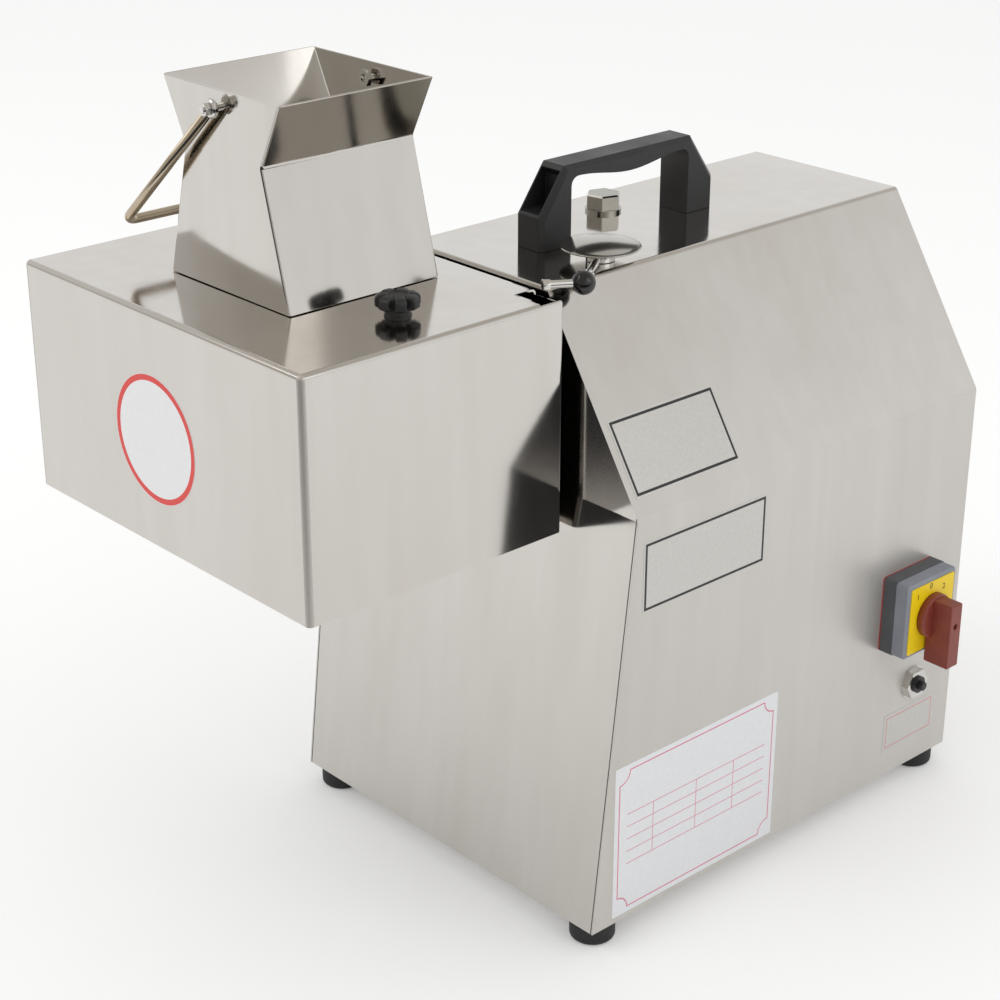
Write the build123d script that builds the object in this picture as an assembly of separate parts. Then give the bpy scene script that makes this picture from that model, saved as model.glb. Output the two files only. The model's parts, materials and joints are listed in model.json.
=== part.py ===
from build123d import *
from math import cos, pi, radians, sin
import os

# Meat cutting machine: a stainless drive unit with a clip-on cutter head.
# Millimetres, +Z up. -Y is the front, where the cutter head hangs on the hub;
# +X is the side with the switch. The origin is the bottom centre of the whole.

# Drive unit casing
shell_half_width = 175.0
shell_top_half_width = 77.8
shell_depth = 436.5
shell_height = 486.0
side_fold_height = 335.0
front_rake = 37.5
shell_sheet = 1.5
shell_bend = 5.0
shell_front_bend = 3.0
rear_flange = 16.0
bottom_lip = 34.0
rear_cover_sheet = 1.5
rear_cover_margin = 3.0
base_plate_thickness = 3.0
base_plate_clearance = 0.5

# Louvres of the rear cover
louvre_length = 70.0
louvre_pitch = 16.0
louvre_rise = 6.0
louvre_height = 9.0
louvre_rows = 7
louvre_column = 45.0
louvre_low = 90.0

# Rear cover screws
cover_screw_radius = 2.5
cover_screw_head_radius = 5.0
cover_screw_head = 2.5
cover_screw_length = 8.0

# Cooling slots of the base plate
vent_length = 70.0
vent_width = 6.0
vent_pitch = 16.0
vent_rows = 7
vent_column = 75.0
vent_setback = 90.0

# Feet
foot_radius = 18.0
foot_height = 18.0
foot_edge = 4.0
foot_bore = 4.0
foot_recess_radius = 9.0
foot_recess_depth = 9.0
foot_inset_x = 20.0
foot_inset_front = 20.0
foot_inset_rear = 19.0
foot_screw_head_radius = 7.0
foot_screw_head = 4.5
foot_nut_radius = 7.5
foot_nut_height = 5.0

# Carry handle, a moulded bridge along the middle of the top plate
handle_width = 30.0
handle_front = 54.0
handle_length = 189.5
handle_height = 62.0
handle_shoulder = 26.0
handle_top_inset = 26.0
handle_leg = 31.0
handle_grip = 9.0
handle_belly = 6.0
handle_window_corner = 7.0
handle_edge = 4.0
handle_wall = 4.5
handle_pocket_floor = 2.0
handle_screw_radius = 4.0
handle_screw_length = 24.0
handle_screw_head_radius = 7.0
handle_screw_head = 5.0

# Hub and its clamp
hub_height = 403.0
hub_bore = 30.0
hub_radius = 48.0
hub_length = 120.0
hub_flange_radius = 66.0
hub_flange = 12.0
hub_panel_clearance = 0.8
hub_bolt_circle = 57.0
hub_bolt_radius = 4.0
hub_bolt_head_radius = 6.5
hub_bolt_head = 6.0
ear_edge = 16.0
ear_depth = 34.0
ear_height = 26.0
ear_slit = 4.0
slit_run_out = 8.0
lock_x = 55.0
lock_setback = 76.5
lock_screw_radius = 6.0
lock_hole_clearance = 0.5
lock_knob_radius = 30.5
lock_knob_rise = 14.0
lock_knob_edge = 3.5
lock_knob_height = 4.5
lock_knob_dish = 2.5
lock_knob_under = 7.0
lever_seat_gap = 0.5
lever_eye_radius = 11.0
lever_length = 68.0
lever_rod_radius = 3.0
lever_angle = -55.0
ball_radius = 9.0
ball_socket = 6.0

# Gearbox and gears
gearbox_wall = 8.0
gearbox_face = 12.0
gearbox_cavity_radius = 88.0
gearbox_cavity_depth = 56.0
gearbox_floor_gap = 5.0
gearbox_foot_width = 110.0
gearbox_foot_thickness = 10.0
gearbox_bolt_radius = 2.5
gearbox_bolt_head_radius = 4.0
gearbox_bolt_head = 4.0
gearbox_bolt_grip = 12.0
output_module = 2.5
output_teeth = 64
pinion_teeth = 16
input_module = 2.0
input_gear_teeth = 80
motor_pinion_teeth = 15
output_face = 24.0
input_face = 16.0
gear_end_gap = 4.0
gear_layer_gap = 6.0
output_shaft_radius = 15.0
layshaft_radius = 10.0
bearing_growth = 11.0
bearing_seat = 9.0
drive_hex = 20.0
drive_hex_length = 34.0
drive_hex_play = 0.6
filler_x = -36.6
filler_setback = 170.5
filler_radius = 16.0
filler_bore = 9.0
filler_root = 60.0
filler_bore_depth = 20.0
plug_hex = 25.0
plug_hex_height = 12.0
plug_flange_radius = 14.5
plug_flange = 2.5
plug_thread_length = 14.0
shaft_running = 0.05
tooth_backlash = 0.3

# Motor
motor_radius = 80.0
motor_wall = 4.0
motor_bell = 10.0
motor_stator_length = 100.0
motor_cowl_length = 34.0
cowl_hole = 9.0
motor_gap = 1.0
motor_rotor_radius = 45.0
motor_rotor_length = 78.0
motor_shaft_radius = 8.0
stator_length = 70.0
fan_radius = 62.0
fan_blades = 7
fan_width = 16.0
fan_hub_radius = 14.0
fan_blade_thickness = 2.5
fan_gap = 3.0
cradle_width = 120.0
cradle_sheet = 3.0
cradle_front = 40.0
cradle_length = 60.0
cradle_web = 60.0
capacitor_radius = 22.0
capacitor_length = 90.0
capacitor_gap = 32.0
capacitor_edge = 3.0
capacitor_setback = 200.0

# Switch and reset breaker on the right side
switch_setback = 363.0
switch_height = 180.0
switch_width = 64.0
switch_tall = 68.0
switch_gasket = 1.2
switch_base_depth = 12.0
switch_cover_depth = 13.0
switch_face_width = 56.0
switch_face_tall = 60.0
switch_face = 0.8
switch_corner = 3.0
switch_body_size = 44.0
switch_body_depth = 46.0
switch_body_clearance = 0.2
knob_flange_radius = 19.5
knob_flange = 7.0
knob_blade_length = 60.0
knob_blade_width = 15.0
knob_blade_reach = 25.5
knob_spindle_radius = 4.0
breaker_setback = 383.0
breaker_height = 98.0
breaker_thread_radius = 7.5
breaker_nut_radius = 12.0
breaker_nut = 6.0
breaker_body_radius = 15.0
breaker_body_depth = 28.0
breaker_collar = 8.0
button_radius = 4.0
button_reach = 12.0
button_length = 22.0
gland_radius = 11.0
gland_x = 120.0
gland_height = 60.0
gland_bore = 4.5
gland_nut = 5.0
gland_dome = 7.0

# Cutter head, placed from the hub axis
head_gap = 10.0
head_width = 334.0
head_depth = 234.0
head_height = 180.0
head_offset = -60.0
head_rise = 2.0
head_sheet = 1.5
head_bend = 4.0
relief_notch_x = 30.0
relief_notch_y = 22.0
blade_radius = 64.0
blade_thickness = 1.6
blade_bevel = 4.0
blade_pitch = 16.0
blade_count = 8
blade_centres = 120.0
spacer_radius = 27.0
shaft_hex = 26.0
shaft_journal = 14.0
shaft_socket_radius = 17.5
head_plate = 10.0
head_plate_low = 22.0
blade_bay = 140.0
plate_setback = 17.0
neck_length = 92.0
neck_wall = 12.0
neck_flange_radius = 42.0
neck_flange = 6.0
bush_wall = 4.0
tie_rod_radius = 6.0
tie_rod_head_radius = 9.0
tie_rod_head = 6.0
tie_rod_edge = 15.0
tie_rod_gap = 2.5
tie_rod_drop = 52.0
head_plate_corner = 10.0
knob_bar_width = 20.0
knob_bar_depth = 12.0
comb_bar_thickness = 8.0
comb_bar_height = 30.0
comb_finger_gap = 4.0
comb_clearance = 1.0
comb_blade_gap = 2.0
cutter_module = 4.0
cutter_teeth = 30
cutter_gear_face = 12.0
cutter_gear_gap = 3.0
cutter_gear_hole = 10.0
end_nut_radius = 18.0
end_nut = 8.0
star_knob_x = 56.0
star_knob_setback = 110.0
star_radius = 16.0
star_lobes = 7
star_lobe_cut = 3.4
star_head = 14.0
star_neck_radius = 10.0
star_neck = 5.0
star_stud_radius = 4.0
star_stud_length = 14.0
star_stud_clearance = 0.6

# Hopper and its bail
hopper_base = 141.5
hopper_waist = 90.0
hopper_rim = 135.0
hopper_depth = 135.0
hopper_waist_height = 99.0
hopper_height = 145.0
hopper_sheet = 1.5
hopper_setback = 101.0
hopper_seam = 0.6
spigot_inset = 5.0
spigot_length = 12.0
spigot_clearance = 0.5
bail_radius = 3.0
bail_pivot_drop = 11.5
bail_reach_x = 118.0
bail_drop = 106.0
bail_stand_off = 7.0
bail_bend = 10.0
bail_inner = 9.0
bail_nut_radius = 5.5
bail_nut = 5.0

# Places that follow from the sizes above
unit_depth = shell_depth + rear_cover_sheet
head_total = head_depth + head_gap - front_rake
gland_out = gland_nut + gland_dome
rear_y = (unit_depth + head_total - gland_out) / 2
shell_rear = rear_y - rear_cover_sheet
front_y = rear_y - unit_depth
panel_y = front_y + front_rake
switch_out = switch_gasket + switch_base_depth + switch_cover_depth + switch_face
knob_out = switch_out + knob_blade_reach
body_x = (head_width / 2 - head_offset - shell_half_width - knob_out) / 2
shell_low = foot_height
shell_top = shell_low + shell_height
plate_top = shell_low + shell_sheet + base_plate_thickness
side_x = body_x + shell_half_width
hub_x = body_x
socket_rear = panel_y + hub_length
ear_y = panel_y + lock_setback
ear_reach = lock_x + ear_edge
lock_knob_level = shell_top + lock_knob_rise
box_front = socket_rear
cavity_front = box_front + gearbox_face
cavity_rear = cavity_front + gearbox_cavity_depth
box_rear = cavity_rear + gearbox_face
motor_front = box_rear
motor_rear = motor_front + 2 * motor_bell + motor_stator_length
fan_front = motor_rear + fan_gap
output_radius = output_module * output_teeth / 2
layshaft_height = hub_height - output_module * (output_teeth + pinion_teeth) / 2
motor_height = layshaft_height - input_module * (input_gear_teeth + motor_pinion_teeth) / 2
motor_pinion_tip = input_module * (motor_pinion_teeth / 2 + 1)
gearbox_low_centre = motor_height - motor_pinion_tip - gearbox_floor_gap + gearbox_cavity_radius
output_y = cavity_front + gear_end_gap
input_y = output_y + output_face + gear_layer_gap
head_rear = panel_y - head_gap
head_front = head_rear - head_depth
head_top = shell_top + head_rise
head_low = head_top - head_height
head_x = hub_x + head_offset
shaft_b_x = hub_x - blade_centres
bay_rear = head_rear - plate_setback - head_plate
bay_front = bay_rear - blade_bay
hopper_y = head_rear - hopper_setback
tie_rod_reach = blade_radius + comb_blade_gap + comb_bar_thickness + tie_rod_gap + tie_rod_head_radius
star_x = hub_x + star_knob_x
star_y = head_rear - star_knob_setback


def on_y(sketch, start, end):
    """A sketch drawn in X and Z, pushed from start to end along Y."""
    plane = Plane(origin=(0, end, 0), x_dir=(1, 0, 0), z_dir=(0, -1, 0))
    return extrude(plane * sketch, amount=end - start, dir=plane.z_dir)


def on_x(sketch, start, end):
    """A sketch drawn in Y and Z, pushed from start to end along X."""
    plane = Plane(origin=(start, 0, 0), x_dir=(0, 1, 0), z_dir=(1, 0, 0))
    return extrude(plane * sketch, amount=end - start, dir=plane.z_dir)


def on_z(sketch, start, end):
    """A sketch drawn in X and Y, pushed from start to end along Z."""
    return extrude(Plane.XY.offset(start) * sketch, amount=end - start, dir=(0, 0, 1))


def round_y(x, z, radius, start, end):
    return on_y(Pos(x, z) * Circle(radius), start, end)


def round_x(y, z, radius, start, end):
    return on_x(Pos(y, z) * Circle(radius), start, end)


def round_z(x, y, radius, start, end):
    return on_z(Pos(x, y) * Circle(radius), start, end)


def hexagon(across_flats):
    return RegularPolygon(across_flats / 2, 6, major_radius=False)


def ring_of(count, radius, turn=0.0):
    """Points spaced evenly round a circle."""
    return [(radius * cos(radians(turn) + 2 * pi * i / count),
             radius * sin(radians(turn) + 2 * pi * i / count)) for i in range(count)]


def outline_rect(low_x, high_x, low_y, high_y):
    return Pos((low_x + high_x) / 2, (low_y + high_y) / 2) * Rectangle(high_x - low_x, high_y - low_y)


def slot_shape(x, low, high, radius):
    """A vertical slot: two round ends joined by straight sides."""
    return (Pos(x, low) * Circle(radius) + Pos(x, high) * Circle(radius)
            + outline_rect(x - radius, x + radius, low, high))


def gear_outline(teeth, module, bore, turn=0.0):
    """Straight-flanked teeth on a pitch circle, with a round bore."""
    pitch = teeth * module / 2
    half_pitch_tooth = (pi * module / 2 - tooth_backlash) / 2
    points = []
    for i in range(teeth):
        centre = 2 * pi * i / teeth + radians(turn)
        flank = [(pitch - 1.25 * module, half_pitch_tooth * 1.5),
                 (pitch + module, half_pitch_tooth * 0.44)]
        for radius, half in flank:
            points.append((radius, centre - half / radius))
        for radius, half in reversed(flank):
            points.append((radius, centre + half / radius))
    outer = Polygon(*[(r * cos(a), r * sin(a)) for r, a in points], align=None)
    return outer - Circle(bore)


def casing_outline():
    """The drive unit seen from the front: upright sides that slope in to the top."""
    w, t = shell_half_width, shell_top_half_width
    fold, top = shell_low + side_fold_height, shell_top
    face = Polygon((-w, shell_low), (w, shell_low), (w, fold), (t, top), (-t, top), (-w, fold), align=None)
    return Pos(body_x, 0) * face


def casing_side():
    """The drive unit seen from the side: the lower front panel leans out to the bottom."""
    fold = shell_low + side_fold_height
    return Polygon((front_y, shell_low), (panel_y, fold), (panel_y, shell_top),
                   (shell_rear, shell_top), (shell_rear, shell_low), align=None)


def casing_block(inset):
    """The casing as a solid block, drawn smaller by inset all round, with its sheet bends rounded."""
    front, side = casing_outline(), casing_side()
    if inset > 0:
        front = offset(front, -inset, kind=Kind.INTERSECTION)
        side = offset(side, -inset, kind=Kind.INTERSECTION)
    folds = [v for v in front.vertices() if v.Y > shell_low + side_fold_height / 2]
    front = fillet(folds, shell_bend - inset)
    front_bends = [v for v in side.vertices() if v.X < panel_y + 2 * inset + 1 and v.Y > shell_low + inset + 1]
    side = fillet(front_bends, shell_front_bend - inset)
    width = shell_half_width + 1
    return (on_y(front, front_y, shell_rear) & on_x(side, body_x - width, body_x + width)).solid()


def housing_shell():
    """Folded sheet casing, open behind and below inside its return flanges."""
    shell = casing_block(0) - casing_block(shell_sheet)
    opening = offset(casing_outline(), -rear_flange, kind=Kind.INTERSECTION)
    shell -= on_y(opening, shell_rear - 3 * shell_sheet, shell_rear + 1)
    w = shell_half_width - bottom_lip
    shell -= on_z(outline_rect(body_x - w, body_x + w, front_y + bottom_lip, shell_rear - bottom_lip),
                  shell_low - 1, shell_low + 2 * shell_sheet)
    shell -= round_y(hub_x, hub_height, hub_radius + hub_panel_clearance, panel_y - 1, panel_y + 5)
    above, below = shell_top + 1, shell_top - 5
    for y in handle_screw_places():
        shell -= round_z(hub_x, y, handle_screw_radius, below, above)
    shell -= round_z(hub_x + filler_x, panel_y + filler_setback, filler_bore, below, above)
    lock_hole = lock_screw_radius + 3 * lock_hole_clearance
    shell -= round_z(hub_x + lock_x, ear_y, lock_hole, below, above)
    body_half = switch_body_size / 2
    switch_y, breaker_y = front_y + switch_setback, front_y + breaker_setback
    shell -= on_x(outline_rect(switch_y - body_half, switch_y + body_half,
                               switch_height - body_half, switch_height + body_half), side_x - 5, side_x + 1)
    shell -= round_x(breaker_y, breaker_height, breaker_thread_radius, side_x - 5, side_x + 1)
    for x, y in foot_places():
        shell -= round_z(x, y, foot_bore, shell_low - 1, shell_low + shell_sheet + 1)
    for x, z in cover_screw_places():
        shell -= round_y(x, z, cover_screw_radius, shell_rear - 5, shell_rear + 1)
    return shell.solid()


def cover_screw_places():
    """Screws through the rear cover into the middle of the casing's rear flange."""
    inset = rear_flange / 2 + 1
    w = shell_half_width - inset
    low = shell_low + inset
    fold = shell_low + side_fold_height
    places = [(0, shell_top - inset), (0, low)]
    for side in (-1, 1):
        places += [(side * w, low + 6), (side * w, (low + fold) / 2), (side * w, fold - 12)]
    return [(body_x + x, z) for x, z in places]


def rear_cover():
    outline = offset(casing_outline(), -rear_cover_margin, kind=Kind.INTERSECTION)
    cover = on_y(outline, shell_rear, rear_y)
    for column in (-1, 1):
        for row in range(louvre_rows):
            z = shell_low + louvre_low + row * louvre_pitch
            x = body_x + column * louvre_column
            cover = cover - louvre_hole(x, z) + louvre_hood(x, z)
    for x, z in cover_screw_places():
        cover -= round_y(x, z, cover_screw_radius, shell_rear - 1, rear_y + 1)
    cover -= round_y(body_x + gland_x, gland_height, gland_radius - 2, shell_rear - 1, rear_y + 1)
    return cover.solid()


def louvre_wedge(x, z, length, rise, height, foot):
    """A pressed hood: a wedge that stands into the casing from the cover's inner face."""
    side = Polygon((foot, z + height), (foot, z), (shell_rear - rise, z), align=None)
    return on_x(side, x - length / 2, x + length / 2)


def louvre_hole(x, z):
    slit = louvre_height - 2 * rear_cover_sheet
    half = louvre_length / 2 - rear_cover_sheet
    return on_y(outline_rect(x - half, x + half, z, z + slit), shell_rear - 1, rear_y + 1)


def louvre_hood(x, z):
    """The hood bends into the casing, so that the cover's outside stays flat."""
    hood = louvre_wedge(x, z, louvre_length, louvre_rise, louvre_height, shell_rear)
    hollow = louvre_wedge(x, z - 1, louvre_length - 2 * rear_cover_sheet, louvre_rise - rear_cover_sheet,
                          louvre_height - 2 * rear_cover_sheet + 1, shell_rear)
    return hood - hollow


def cover_screws():
    screws = []
    for x, z in cover_screw_places():
        screw = round_y(x, z, cover_screw_head_radius, rear_y, rear_y + cover_screw_head)
        screw = fillet(screw.edges().sort_by(Axis.Y)[-1], cover_screw_head * 0.6)
        screws.append(screw + round_y(x, z, cover_screw_radius, rear_y - cover_screw_length, rear_y))
    return screws


def foot_places():
    x = shell_half_width - foot_inset_x
    return [(body_x + side * x, y) for side in (-1, 1)
            for y in (front_y + foot_inset_front, shell_rear - foot_inset_rear)]


def base_plate():
    """Flat plate on the casing's bottom lips, with a row of cooling slots."""
    gap = shell_sheet + base_plate_clearance
    w = shell_half_width - gap
    low = shell_low + shell_sheet
    plate = on_z(outline_rect(body_x - w, body_x + w, front_y + gap + base_plate_thickness / 4,
                              shell_rear - gap), low, plate_top)
    for i in range(vent_rows):
        y = front_y + vent_setback + i * vent_pitch
        for side in (-1, 1):
            slot = SlotOverall(vent_length, vent_width)
            plate -= on_z(Pos(body_x + side * vent_column, y) * slot, low - 1, plate_top + 1)
    for x, y in foot_places():
        plate -= round_z(x, y, foot_bore, low - 1, plate_top + 1)
    return plate.solid()


def feet():
    made = []
    for x, y in foot_places():
        foot = round_z(x, y, foot_radius, 0, shell_low)
        foot = fillet(foot.edges().sort_by(Axis.Z)[0], foot_edge)
        foot -= round_z(x, y, foot_recess_radius, 0, foot_recess_depth)
        made.append(foot - round_z(x, y, foot_bore, 0, shell_low))
    return made


def foot_screws():
    """Each foot's screw, with its nut on top of the base plate."""
    made = []
    for x, y in foot_places():
        head = round_z(x, y, foot_screw_head_radius, foot_recess_depth - foot_screw_head, foot_recess_depth)
        shank = round_z(x, y, foot_bore, foot_recess_depth, plate_top + foot_nut_height + 2)
        nut = on_z(Pos(x, y) * hexagon(2 * foot_nut_radius), plate_top, plate_top + foot_nut_height)
        made.append(head + shank + nut)
    return made


def handle_ends():
    front = panel_y + handle_front
    return front, front + handle_length


def handle_screw_places():
    front, rear = handle_ends()
    return [front + handle_leg / 2, rear - handle_leg / 2]


def handle_window():
    """The opening for the hand; its ceiling swells down in the middle to fit the fingers."""
    front, rear = handle_ends()
    low, high = front + handle_leg, rear - handle_leg
    floor, ceiling = shell_top - 1, shell_top + handle_height - handle_grip
    corner = handle_window_corner
    near, far = low + corner, high - corner
    swell = [(near + (far - near) * i / 8, ceiling - handle_belly * sin(pi * i / 8) ** 2) for i in range(9)]
    left = [(low, floor), (low, ceiling - corner), (low + corner * 0.3, ceiling - corner * 0.3)]
    right = [(high - corner * 0.3, ceiling - corner * 0.3), (high, ceiling - corner), (high, floor)]
    return Polygon(*left, *swell, *right, align=None)


def handle_pocket(end, side):
    """Open pocket moulded into the slope of one leg."""
    floor = shell_top + handle_shoulder + handle_pocket_floor
    top = shell_top + handle_height
    back = end + side * (handle_leg - handle_wall)
    lip = end + side * handle_top_inset * 0.85
    outside = end - side * handle_wall
    return Polygon((outside, floor), (back, floor), (back, top - handle_grip), (lip, top - handle_wall),
                   (outside, top - handle_wall), align=None)


def carry_handle():
    """Moulded bridge: upright legs, sloped ends with open pockets, and a flat-topped grip."""
    front, rear = handle_ends()
    low, top = shell_top, shell_top + handle_height
    shoulder = low + handle_shoulder
    outline = Polygon((front, low), (front, shoulder), (front + handle_top_inset, top),
                      (rear - handle_top_inset, top), (rear, shoulder), (rear, low), align=None)
    half = handle_width / 2
    handle = on_x(outline, hub_x - half, hub_x + half)
    side_edges = [e for e in handle.edges() if abs(e.center().X - hub_x) > half - 1]
    handle = chamfer([e for e in side_edges if e.center().Z > low + 1], handle_edge)
    handle -= on_x(handle_window(), hub_x - half - 1, hub_x + half + 1)
    inner = half - handle_edge - 1
    for end, side in ((front, 1), (rear, -1)):
        handle -= on_x(handle_pocket(end, side), hub_x - inner, hub_x + inner)
    for y in handle_screw_places():
        handle -= round_z(hub_x, y, handle_screw_radius, low, low + handle_screw_length)
    return handle.solid()


def handle_screws():
    """Screws from inside the casing, up into the handle's feet."""
    made = []
    low = shell_top - shell_sheet
    for y in handle_screw_places():
        head = on_z(Pos(hub_x, y) * hexagon(2 * handle_screw_head_radius), low - handle_screw_head, low)
        made.append(head + round_z(hub_x, y, handle_screw_radius, low, low + handle_screw_length))
    return made


def hub_bolt_places():
    """Bolt places round the hub flange, clear of the clamp ears."""
    return [(hub_x + x, hub_height + z) for x, z in ring_of(6, hub_bolt_circle, 30)]


def hub_socket():
    """Cast socket for the head's neck, slit on one side and drawn tight by the lock screw."""
    body = round_y(hub_x, hub_height, hub_radius, panel_y, socket_rear)
    body += round_y(hub_x, hub_height, hub_flange_radius, socket_rear - hub_flange, socket_rear)
    ear_front, ear_rear = ear_y - ear_depth / 2, ear_y + ear_depth / 2
    low, high = hub_height - ear_height, hub_height + ear_height
    body += on_y(outline_rect(hub_x + hub_bore, hub_x + ear_reach, low, high), ear_front, ear_rear)
    body -= round_y(hub_x, hub_height, hub_bore, panel_y - 1, socket_rear + 1)
    slit = outline_rect(hub_x, hub_x + ear_reach + 1, hub_height - ear_slit / 2, hub_height + ear_slit / 2)
    body -= on_y(slit, panel_y - 1, ear_rear + slit_run_out)
    body -= round_z(hub_x + lock_x, ear_y, lock_screw_radius + lock_hole_clearance, low - 1, high + 1)
    for x, z in hub_bolt_places():
        body -= round_y(x, z, hub_bolt_radius, socket_rear - hub_flange - 1, socket_rear + 1)
    return body.solid()


def lock_screw():
    """Upright clamp screw from the lower ear, out through the top plate to the knob."""
    return round_z(hub_x + lock_x, ear_y, lock_screw_radius, hub_height - ear_height - 4,
                   lock_knob_level - lock_knob_height)


def lock_knob():
    """Dished round head, coned underneath, with a bore for the clamp screw."""
    r, neck = lock_knob_radius, lock_screw_radius
    profile = Polyline((0, -lock_knob_dish), (r * 0.55, -lock_knob_dish * 0.8), (r - 3, 0), (r, -1.5),
                       (r, -lock_knob_edge), (r - 4, -lock_knob_under + 2), (neck + 5, -lock_knob_under),
                       (neck, -lock_knob_under), (neck, -lock_knob_height), (0, -lock_knob_height),
                       close=True)
    knob = revolve(Plane.XZ * make_face(profile), Axis.Z)
    return (Pos(hub_x + lock_x, ear_y, lock_knob_level) * knob).solid()


def lever_frame():
    """The height of the lever's eye, the middle of its ball, and the way from one to the other."""
    low, high = shell_top + lever_seat_gap, lock_knob_level - lock_knob_under
    eye = Vector(hub_x + lock_x, ear_y, (low + high) / 2)
    way = Vector(cos(radians(lever_angle)), sin(radians(lever_angle)), 0)
    return low, high, eye, way


def lock_lever():
    """Eye round the clamp screw, with a rod to the ball."""
    low, high, eye, way = lever_frame()
    lever = round_z(eye.X, eye.Y, lever_eye_radius, low, high)
    start = Plane(origin=eye + way * (lever_eye_radius - 1), z_dir=way)
    rod_length = lever_length - ball_radius + ball_socket - lever_eye_radius + 1
    lever += extrude(start * Circle(lever_rod_radius), amount=rod_length)
    return (lever - round_z(eye.X, eye.Y, lock_screw_radius, low - 1, high + 1)).solid()


def lock_ball():
    low, high, eye, way = lever_frame()
    ball = Pos(*(eye + way * lever_length)) * Sphere(ball_radius)
    mouth = Plane(origin=eye + way * (lever_length - ball_radius - 1), z_dir=way)
    return (ball - extrude(mouth * Circle(lever_rod_radius), amount=ball_socket + 1)).solid()


def gearbox_bolt_places():
    """Bolts round the gearbox rim, in the thick of its wall."""
    radius = gearbox_cavity_radius + gearbox_wall / 2
    above = [(radius * cos(radians(a)), hub_height + radius * sin(radians(a))) for a in (15, 90, 165)]
    below = [(radius * cos(radians(a)), gearbox_low_centre + radius * sin(radians(a))) for a in (195, 345)]
    middle = (gearbox_low_centre + hub_height) / 2
    beside = [(-radius, middle), (radius, middle)]
    return [(hub_x + x, z) for x, z in above + below + beside]


def filler_centre():
    return hub_x + filler_x, panel_y + filler_setback


def gearbox_housing():
    """Cast case, open behind, with feet, bearing seats and the oil filler's neck."""
    outer = gearbox_cavity_radius + gearbox_wall
    case = on_y(slot_shape(hub_x, gearbox_low_centre, hub_height, outer), box_front, cavity_rear)
    foot = gearbox_foot_width / 2
    case += on_y(outline_rect(hub_x - foot, hub_x + foot, plate_top, gearbox_low_centre - outer * 0.6),
                 box_front, cavity_front)
    case += on_z(outline_rect(hub_x - foot - 20, hub_x + foot + 20, box_front, cavity_rear),
                 plate_top, plate_top + gearbox_foot_thickness)
    for side in (-1, 1):
        web = Polygon((cavity_front, plate_top), (cavity_rear, plate_top),
                      (cavity_front, gearbox_low_centre - outer), align=None)
        case += on_x(web, hub_x + side * foot * 0.8 - 4, hub_x + side * foot * 0.8 + 4)
    x, y = filler_centre()
    case += round_z(x, y, filler_radius, hub_height + filler_root, shell_top - shell_sheet)
    case -= on_y(slot_shape(hub_x, gearbox_low_centre, hub_height, gearbox_cavity_radius),
                 cavity_front, cavity_rear + 1)
    case -= round_z(x, y, filler_bore, hub_height + filler_root - filler_bore_depth, shell_top)
    for z, shaft in ((hub_height, output_shaft_radius), (layshaft_height, layshaft_radius)):
        case -= round_y(hub_x, z, shaft + bearing_growth, cavity_front - bearing_seat, cavity_front + 1)
    case -= round_y(hub_x, hub_height, output_shaft_radius + 2, box_front - 1, cavity_front)
    for x, z in hub_bolt_places():
        case -= round_y(x, z, hub_bolt_radius, box_front - 1, box_front + gearbox_face - 3)
    for x, z in gearbox_bolt_places():
        case -= round_y(x, z, gearbox_bolt_radius, cavity_rear - gearbox_bolt_grip, cavity_rear + 1)
    return case.solid()


def gearbox_cover():
    """Rear plate of the gearbox; the motor's flange is bolted to it."""
    outer = gearbox_cavity_radius + gearbox_wall
    plate = on_y(slot_shape(hub_x, gearbox_low_centre, hub_height, outer), cavity_rear, box_rear)
    for z, shaft in ((hub_height, output_shaft_radius), (layshaft_height, layshaft_radius)):
        plate -= round_y(hub_x, z, shaft + bearing_growth, cavity_rear - 1, cavity_rear + bearing_seat)
    plate -= round_y(hub_x, motor_height, motor_shaft_radius + bearing_growth, cavity_rear - 1, box_rear + 1)
    for x, z in gearbox_bolt_places():
        plate -= round_y(x, z, gearbox_bolt_radius, cavity_rear - 1, box_rear + 1)
    return plate.solid()


def gearbox_bolts():
    """Bolts of the gearbox cover and of the hub flange."""
    made = []
    for x, z in gearbox_bolt_places():
        head = round_y(x, z, gearbox_bolt_head_radius, box_rear, box_rear + gearbox_bolt_head)
        made.append(head + round_y(x, z, gearbox_bolt_radius, cavity_rear - gearbox_bolt_grip, box_rear))
    for x, z in hub_bolt_places():
        flange = socket_rear - hub_flange
        head = round_y(x, z, hub_bolt_head_radius, flange - hub_bolt_head, flange)
        made.append(head + round_y(x, z, hub_bolt_radius, flange, box_front + gearbox_face - 3))
    return made


def bearing(z, shaft, start, end):
    """A sealed ball bearing, drawn as one ring between its shaft and its seat."""
    return round_y(hub_x, z, shaft + bearing_growth, start, end) - round_y(
        hub_x, z, shaft + shaft_running, start - 1, end + 1)


def gearbox_bearings():
    made = []
    for z, shaft in ((hub_height, output_shaft_radius), (layshaft_height, layshaft_radius)):
        made.append(bearing(z, shaft, cavity_front - bearing_seat, cavity_front))
        made.append(bearing(z, shaft, cavity_rear, cavity_rear + bearing_seat))
    made.append(bearing(motor_height, motor_shaft_radius, cavity_rear, box_rear))
    return made


def output_gear():
    gear = Pos(hub_x, hub_height) * gear_outline(output_teeth, output_module, output_shaft_radius)
    solid = on_y(gear, output_y, output_y + output_face)
    start, end = output_y - 1, output_y + output_face + 1
    for x, z in ring_of(6, output_radius * 0.6):
        solid -= round_y(hub_x + x, hub_height + z, output_radius * 0.17, start, end)
    return solid.solid()


def output_shaft():
    """Shaft with a hexagonal nose that drives the head."""
    start = cavity_front - bearing_seat - 2
    shaft = round_y(hub_x, hub_height, output_shaft_radius, start, cavity_rear + bearing_seat - 1)
    nose = Pos(hub_x, hub_height) * hexagon(drive_hex)
    return (shaft + on_y(nose, socket_rear - drive_hex_length, start)).solid()


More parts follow.
